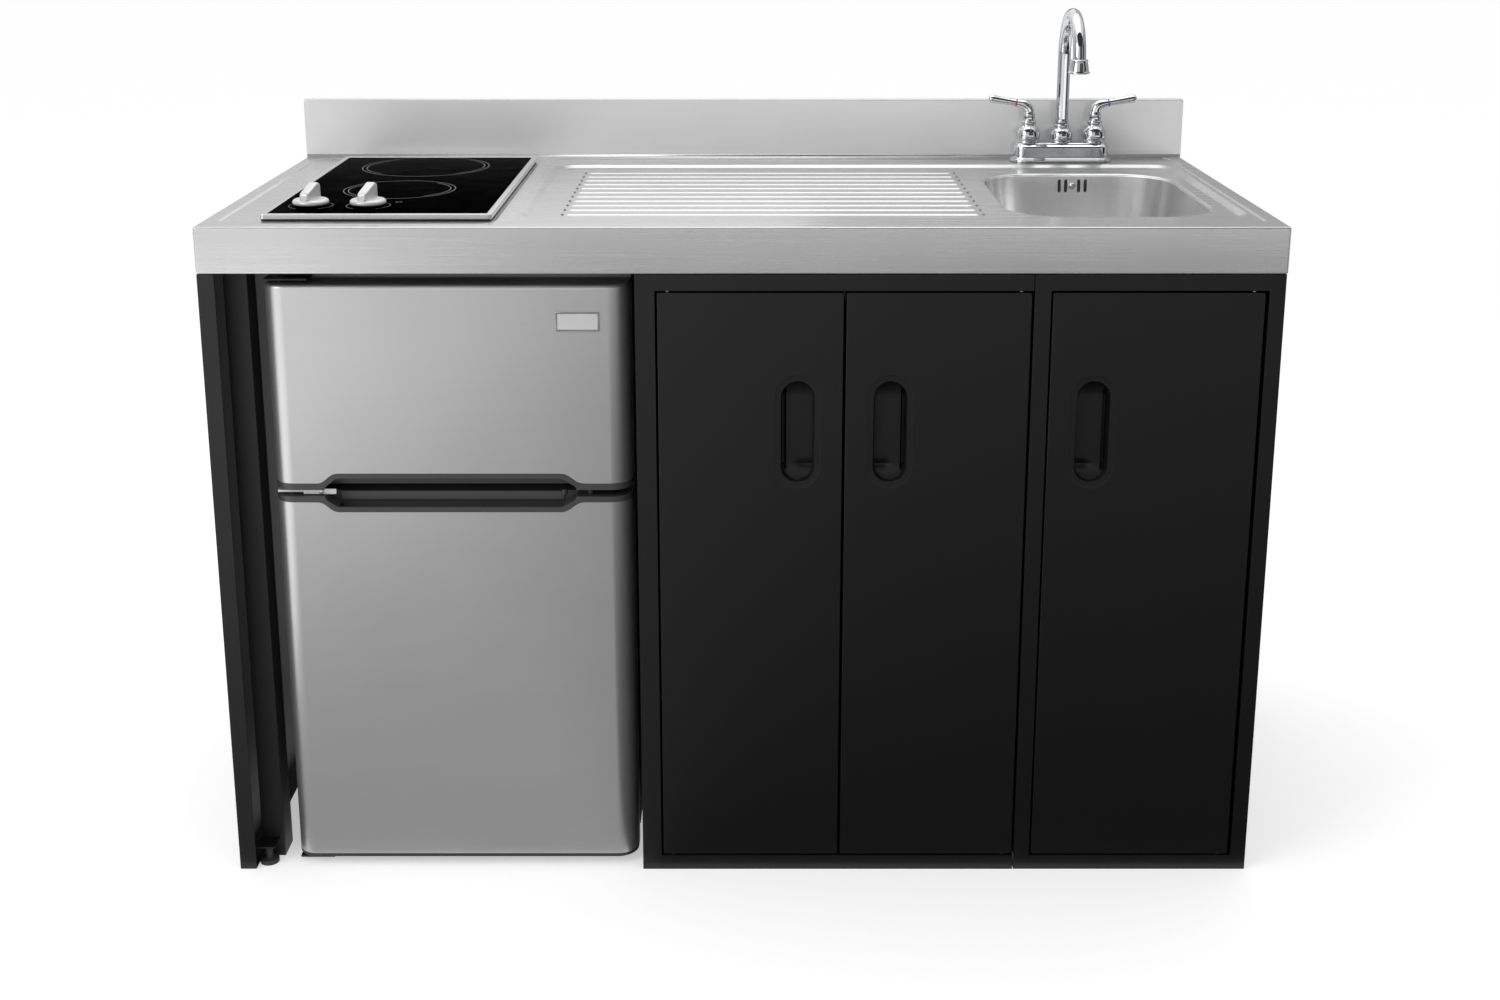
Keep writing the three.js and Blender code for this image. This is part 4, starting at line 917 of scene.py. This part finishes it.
def make_lever(name, body, side, mark):
    """A handle that rises from its bonnet and reaches outwards, with a coloured ring."""
    x = FAUCET_X + side * HANDLE_OFF
    foot = [(0, 956.4, 8.6), (0, 957.2, 9.4), (0, 959.6, 9.6), (0, 961.6, 9.0), (0, 963, 8.0)]
    elbow = curve_through([
        (0.2, 965, 7.9), (2.2, 970.4, 7.8), (6.6, 974.4, 7.4), (12.4, 976.2, 6.4), (18.5, 977.3, 5.4),
    ], 5)
    arm = curve_through([
        (22, 977.9, 4.9), (34, 980, 5.1), (46, 982, 5.6), (53, 983.2, 6.0), (56.6, 983.8, 6.2),
        (59.4, 984.2, 5.8), (61.6, 984.6, 4.6), (62.8, 984.8, 2.6),
    ], 4)
    path = [(x + side * out, FAUCET_Y, z, radius) for out, z, radius in foot + elbow + arm]
    add_solid(name + "_look", sweep(path, 28), "chrome", body, (name,), 60)
    band = []
    for out, radius in ((19.2, 5.3), (19.4, 5.75), (21.0, 5.6), (21.2, 5.1)):
        band.append((x + side * out, FAUCET_Y, 977.5 + (out - 19.6) * 0.17, radius))
    add_solid(name + "_mark", sweep(band, 28), mark, body, angle=60)


# -------- hob
GLASS_TOP = 895.7
HOB_XS, HOB_YS = (-615, -319), (-255, 257)
SEAL_AND_SHADE = ((1.6, 887.3), (1.0, 888.0), (1.0, 889.0), (1.6, 889.7))
RING_X, RINGS = -473, ((154, 93), (-55, 76))
KNOB_X, KNOB_Y, SCALE_R = {"left": -565, "right": -490}, -185, 28.5
LAMP = (-455, -158)
GRIP_TURN = math.radians(-13)


def make_hob_rim():
    """The steel frame and the black seal below it, whose black is also painted shade for the gap under
    the frame's rim.
    """
    add_softened("hob_frame", 1.4, 3, "trim_steel")
    # The seal ring fills the gap under the rim; its black paint is partly a real seal and partly painted
    # shade.
    rings = [level(rounded_rect(HOB_XS, HOB_YS, 5, 8, -i), z) for i, z in SEAL_AND_SHADE]
    inside = block(grow(HOB_XS, -5), grow(HOB_YS, -5), (880, 895))
    shaded_seal = cut(build("hob_seal_and_shade", loft(rings, caps=(True, True))), [inside])
    add_piece("hob_seal_and_shade", shaded_seal, "black_paint", "unit", weigh=False)


def printed_arc(x, y, radius, start, stop, width=0.9, steps=48):
    """A line of print on the glass, as a flat strip a tenth of a millimetre thick."""
    low, high = GLASS_TOP + 0.02, GLASS_TOP + 0.1
    near, far = around(radius, width / 2)
    rings = []
    for i in range(steps + 1):
        a = math.radians(start + (stop - start) * i / steps)
        ends = [(near, low), (near, high), (far, high), (far, low)]
        rings.append([(x + r * math.cos(a), y + r * math.sin(a), z) for r, z in ends])
    is_part = stop - start < 360
    return loft(rings, caps=(is_part, is_part))


def make_hob_print():
    """Two double rings, a scale round each knob and the small ring of the lamp."""
    lines = []
    for y, radius in RINGS:
        lines.append(printed_arc(RING_X, y, radius, 0, 360, 0.9, 96))
        for middle in (0, 180):
            lines.append(printed_arc(RING_X, y, radius - 6.5, *around(middle, 52)))
    for x in KNOB_X.values():
        lines.append(printed_arc(x, KNOB_Y, SCALE_R, -60, 240, 0.6))
    lines.append(printed_arc(*LAMP, 4.2, 0, 360, 0.6, 24))
    add_solid("hob_print", lines, "print_grey", "unit", weigh=False)


def make_knob(side, x):
    """A round disc on a skirt that is dark as painted shade for the shadow under the disc, with an
    upright grip and a pointer line.
    """
    body = "knob_" + side
    disc = [
        (0, 898.2), (21.8, 898.2), (23.1, 898.8), (23.6, 900.2), (23.5, 901.8), (22.7, 903.3),
        (21, 904.5), (18, 905.3), (0, 906.2),
    ]
    add_solid(body + "_disc", lathe(disc, x, KNOB_Y, 64), "silver", body, ("hob_knob_" + side,), 60)
    # Painted shade: the skirt's black stands in for the shadow under the disc.
    shade_skirt = [(0, GLASS_TOP + 0.3), (16.5, GLASS_TOP + 0.3), (19.5, 898.3), (0, 898.3)]
    add_solid(body + "_skirt", lathe(shade_skirt, x, KNOB_Y, 48), "black_plastic", body)
    corners = [(-20.2, 901), (-19.6, 914.5), (10.5, 925.4), (18.2, 922), (18.8, 901)]
    points, faces = prism(fillet(corners, [0, 6, 5, 5, 0], 6), "x", -6.2, 6.2)
    across, along = math.cos(GRIP_TURN), math.sin(GRIP_TURN)
    points = [(x + u * across - v * along, KNOB_Y + u * along + v * across, z) for u, v, z in points]
    add_solid(body + "_grip", (points, faces), "silver", body, bevel=(2.4, 4, 50))
    pointer = block(around(x, 0.6), (KNOB_Y - 21.3, KNOB_Y - 20.0), (904.4, 905.4))
    add_solid(body + "_pointer", pointer, "black_plastic", body)


# -------- refrigerator doors
DOOR_X, DOOR_FRONT, DOOR_BACK, DOOR_R, SKIN = (-610, -143), -293, -243, 28, 1.2
SCOOP_WIDE, SCOOP_NARROW, SCOOP_RISE, SCOOP_LIP = (-547, -211), (-531, -230), 13.5, 7
POCKET_XS, POCKET_YS = (-527, -234), (-289, -266)
FREEZER_STEEL, FREEZER_TIP, FREEZER_TOP, FREEZER_TONGUE = 549, 540, 812, 563.7
FRIDGE_STEEL, FRIDGE_TIP, FRIDGE_KICK, FRIDGE_FOOT, FRIDGE_TONGUE = 523, 531, 17, 12, 505.3
BADGE_XS, BADGE_ZS = (-236.8, -181.4), (752.6, 777.6)


def door_outline(inset):
    """Plan of a refrigerator door from the back left round the front to the back right."""
    x0, x1 = grow(DOOR_X, -inset)
    r = max(DOOR_R - inset, 0.5)
    y = DOOR_FRONT + inset + r
    left = [(x0 + r - r * math.cos(a), y - r * math.sin(a)) for a in bend_angles(14)]
    right = [(x0 + x1 - px, py) for px, py in reversed(left)]
    return [(x0, DOOR_BACK), *left, *right, (x1, DOOR_BACK)]


def scoop_line(edge, way, out=0, start=None):
    """The dip of an edge for the grip, left to right; out moves it away from the finger room."""
    wide, narrow = grow(SCOOP_WIDE, out * 0.6), grow(SCOOP_NARROW, out * 0.6)
    base = edge if start is None else start
    deep = edge + way * SCOOP_RISE + out * way
    corners = [
        (wide[0] - 12, base), (wide[0], base), (narrow[0], deep),
        (narrow[1], deep), (wide[1], base), (wide[1] + 12, base),
    ]
    return fillet(corners, [0, 20, 20, 20, 20, 0], 8)


def steel_skin(door, bottom, top, way, rim):
    """The bent steel face of a door, dipped along the edge that way points to, with a round top of
    radius rim or none."""
    outline = door_outline(0)
    left, right = grow(DOOR_X, -DOOR_R)
    high = top - rim
    if way > 0:
        front = [(left, bottom), *scoop_line(bottom, way), (right, bottom), (right, high), (left, high)]
    else:
        dip = reversed(scoop_line(top, way))
        front = [(left, bottom), (right, bottom), (right, high), *dip, (left, high)]
    parts = [([(x, DOOR_FRONT, z) for x, z in front], [tuple(range(len(front)))])]
    half = len(outline) // 2
    for stretch in (outline[:half], outline[half:]):
        parts.append(loft([level(stretch, bottom), level(stretch, high)], closed=False))
    if rim:
        rings = []
        for a in bend_angles(6):
            rings.append(level(door_outline(rim * (1 - math.cos(a))), high + rim * math.sin(a)))
        parts.append(loft(rings, closed=False))
        parts.append((rings[-1], [tuple(range(len(rings[-1])))]))
    name, body = door + "_steel", door + "_door"
    mesh = build(name, *parts, outward=False, angle=30)
    add_piece(name, mesh, "door_steel", body, (body + "_skin",), sheet=(SKIN,))


def door_grip(door, tip, edge, inner, way):
    """Moulded trim of a refrigerator door with its finger pocket. tip is its edge beside the other
    door, edge that of the steel and inner the end of its tongue behind the steel."""
    shell = build("cap", prism(door_outline(0), "z", *sorted((tip, edge - way * 0.3))))
    line = scoop_line(edge, way, -0.35, edge - way * 0.3)
    band = [*line, (line[-1][0], tip + way * 2), (line[0][0], tip + way * 2)]
    tongue = prism(door_outline(SKIN + 0.3), "z", *sorted((edge - way * 3, inner)))
    for extra in (prism(band, "y", DOOR_FRONT, DOOR_FRONT + 4), tongue):
        shell = combine(shell, build("extra", extra), "UNION")
    deep = edge + way * (SCOOP_RISE - SCOOP_LIP)
    below, above = tip - way * 3, tip + way * 4
    mouth = fillet([
        (SCOOP_WIDE[0] + 4, below), (SCOOP_WIDE[0] + 5, above), (SCOOP_NARROW[0] + 4, deep),
        (SCOOP_NARROW[1] - 4, deep), (SCOOP_WIDE[1] - 5, above), (SCOOP_WIDE[1] - 4, below),
    ], [0, 10, 14, 14, 10, 0], 7)
    room = block(POCKET_XS, POCKET_YS, sorted((below, inner - way * 3)))
    shell = cut(shell, [prism(mouth, "y", DOOR_FRONT - 3, POCKET_YS[1]), room], 40)
    node = door + "_grip"
    add_piece(node + "_look", shell, "trim_grey", door + "_door", (node,), bevel=(1.1, 3, 50))


def make_refrigerator_doors():
    steel_skin("freezer", FREEZER_STEEL, FREEZER_TOP, 1, 5.0)
    steel_skin("fridge", FRIDGE_KICK, FRIDGE_STEEL, -1, 0.0)
    door_grip("freezer", FREEZER_TIP, FREEZER_STEEL, FREEZER_TONGUE, 1)
    door_grip("fridge", FRIDGE_TIP, FRIDGE_STEEL, FRIDGE_TONGUE, -1)
    add_softened("freezer_door_core", 1.5)
    core = [prism(door_outline(SKIN + 0.3), "z", FRIDGE_KICK + 0.2, 505)]
    core += [block(xs, (-245, -205), (85, 480)) for xs in ((-566, -557), (-197, -188))]
    add_solid("fridge_core", core, "white_plastic", "fridge_door", ("fridge_door_core",))
    kick = prism(door_outline(0), "z", FRIDGE_FOOT, FRIDGE_KICK - 0.3)
    add_solid("fridge_kick", kick, "black_plastic", "fridge_door", bevel=(1.2, 3), weigh=False)


def make_badge():
    """A bare bright plate with a thin rim, high on the freezer door."""
    plate = block(BADGE_XS, (DOOR_FRONT - 1.7, DOOR_FRONT - 0.05), BADGE_ZS)
    tray = block(grow(BADGE_XS, -2.2), (DOOR_FRONT - 3, DOOR_FRONT - 1.2), grow(BADGE_ZS, -2.2))
    rim = cut(build("badge_rim", plate), [tray])
    add_piece("badge_rim", rim, "chrome", "freezer_door", bevel=(0.5, 2), weigh=False)
    face = block(grow(BADGE_XS, -2.3), (DOOR_FRONT - 1.35, DOOR_FRONT - 1.15), grow(BADGE_ZS, -2.3))
    add_solid("badge_face", face, "silver", "freezer_door", weigh=False)


def make_refrigerator_front():
    """What shows between the two doors: the cross bar, the pocket's rail and the plugs."""
    add_solid("cross_bar", block((-600, -153), (-236, -231.2), (524, 547)), "trim_grey", "unit")
    rail_xs = (-526.5, -234.5)
    rail = block(rail_xs, (-268.2, -265.5), (519.4, 530.2))
    add_solid("pocket_rail", rail, "pocket_grey", "fridge_door")
    for z in (518.6, 530.6):
        line = block(rail_xs, (-268.6, -265.5), around(z, 0.7))
        add_solid("pocket_line", line, "black_plastic", "fridge_door")
    plug = [(0, 530.8), (4.4, 530.8), (4.5, 535.0), (3.8, 536.6), (2.2, 537.4), (0, 537.6)]
    for x in (-232.5, -198.6):
        add_solid("door_plug", lathe(plug, x, -279, 28), "black_plastic", "fridge_door")


def make_middle_hinge():
    add_softened("hinge_middle", 0.4, 2, "silver")
    leaf = block((-572, -529.5), (-285.5, -283.5), (532.2, 539.2))
    add_solid("hinge_leaf", leaf, "silver", "unit")
    head = [(0, 0), (3.0, 0), (3.2, 0.5), (2.8, 1.5), (2.0, 1.9), (0, 2.0)]
    add_cross_screw("hinge_screw", head, (-548.5, -285.5, 535.7), (0.5, 2.3), (-290, -286.8))


# -------- cabinets
DOOR_Z, DOOR_THICK, CABINET_FRONT = (23, 805), 16, -304.5
CUP_Z, CUP_HALF_X, CUP_HALF_Z, CUP_DEPTH = 622, 21, 67, 13.5
CUP_INSETS = (
    -0.6, -0.3, 0, 0.3, 0.6, 0.9, 1.2, 1.6, 2.4, 3.4, 4.4, 5.4, 6.6, 8, 10, 12.5, 15, 17.5, 19.8)
CUP_LIP = 0.42
PIN_IN, PIN_ZS = 13, ((15, 24.4), (803.6, 813))
# Each door's span in x, the middle of its pull cup and its hinge side, -1 for the left.
CABINET_DOORS = {
    "left": ((-107.5, 128.6), 71, -1),
    "middle": ((131.9, 365.6), 189.5, 1),
    "right": ((392, 659.5), 448.7, 1),
}


def cup_depth(dx, dz, inset, hinge_side):
    """Depth of the pull cup at dx and dz from its middle, inset from its edge: steep walls, rounded
    ends, a deeper slot along the hinge side and a dip across the lower end."""
    wall = smooth_step((inset + 0.6) / 2.2)
    end = min(max((abs(dz) - 42) / 26, 0), 1)
    floor = CUP_DEPTH * math.sqrt(1 - end * end) + 0.9 * end
    beside = CUP_HALF_X - hinge_side * dx
    slot = 8 * (1 - smooth_step((beside - 4.2) / 2.6)) * (1 - smooth_step((abs(dz) - 46) / 10))
    toward_free = smooth_step((6 - hinge_side * dx) / 14)
    dip = 3.2 * math.exp(-((dz + 47.5) / 3.4) ** 2) * toward_free
    return wall * (floor + slot + dip)


def stadium(cup_x, out):
    half_x, half_z = CUP_HALF_X + out, CUP_HALF_Z + out
    return rounded_rect(around(cup_x, half_x), around(CUP_Z, half_z), half_x - 0.02, 14)


def divided(outline, spacing):
    """A closed outline with points added on its long sides."""
    points = []
    for i, (x, z) in enumerate(outline):
        points.append((x, z))
        nx, nz = outline[(i + 1) % len(outline)]
        pieces = max(1, round(math.hypot(nx - x, nz - z) / spacing))
        points.extend((x + (nx - x) * k / pieces, z + (nz - z) * k / pieces) for k in range(1, pieces))
    return points


def cabinet_face(xs, cup_x, hinge_side):
    """The front of a door with its pressed pull cup, in the door's plane."""
    rows = [(rounded_rect(xs, DOOR_Z, 1.2, 3, -1.1), 0.0, True)]
    for out, depth in ((9, 0.0), (8.2, 0.05), (7.2, 0.3), (2.4, 0.34), (1.3, CUP_LIP)):
        rows.append((stadium(cup_x, out), depth, True))
    for inset in CUP_INSETS:
        outline = divided(stadium(cup_x, -inset), 4.5)
        depths = [CUP_LIP + cup_depth(x - cup_x, z - CUP_Z, inset, hinge_side) for x, z in outline]
        rows.append((outline, depths, True))
    vertices, faces = pressed(rows, lambda x, z: True)
    return [(x, CABINET_FRONT + depth, z) for x, z, depth in vertices], faces


def cabinet_door(side, xs, cup_x, hinge_side):
    """A door of folded sheet with its pull cup and its two pivot pins."""
    rim = []
    for inset, depth in ((1.1, 0.0), (0.6, 0.13), (0.2, 0.5), (0, 1.1), (0, DOOR_THICK)):
        ring = rounded_rect(xs, DOOR_Z, 2.3 - inset, 3, -inset)
        rim.append([(x, CABINET_FRONT + depth, z) for x, z in ring])
    name = side + "_door_look"
    mesh = build(name, cabinet_face(xs, cup_x, hinge_side), loft(rim, flip=True), outward=False, angle=48)
    add_piece(name, mesh, "black_paint", side + "_door", (side + "_cabinet_door",), sheet=(1.2,))
    pivot = xs[0] + PIN_IN if hinge_side < 0 else xs[1] - PIN_IN
    for low, high in PIN_ZS:
        pin = lathe([(0, low), (3, low), (3, high), (0, high)], pivot, CABINET_FRONT + DOOR_THICK / 2, 20)
        add_solid(side + "_door_pin", pin, "zinc", side + "_door")


# -------- all pieces
make_worktop()
make_rib_end_shade_dots()
make_backsplash()
make_bowl()
make_overflow()
make_strainer()
make_basket()
make_faucet_plate()
make_bonnets()
make_spout()
make_aerator()
make_lever("hot_handle", "hot_lever", -1, "mark_red")
make_lever("cold_handle", "cold_lever", 1, "mark_blue")
make_hob_rim()
add_softened("hob_glass", 0.5)
make_hob_print()
for knob_side, knob_x in KNOB_X.items():
    make_knob(knob_side, knob_x)
make_refrigerator_doors()
make_badge()
make_refrigerator_front()
make_middle_hinge()
for door_side, door_values in CABINET_DOORS.items():
    cabinet_door(door_side, *door_values)
for box in ("double_carcass", "single_carcass"):
    add_softened(box, 0.7)
for other_node in NODES:
    if other_node not in REPLACED:
        add_softened(other_node)
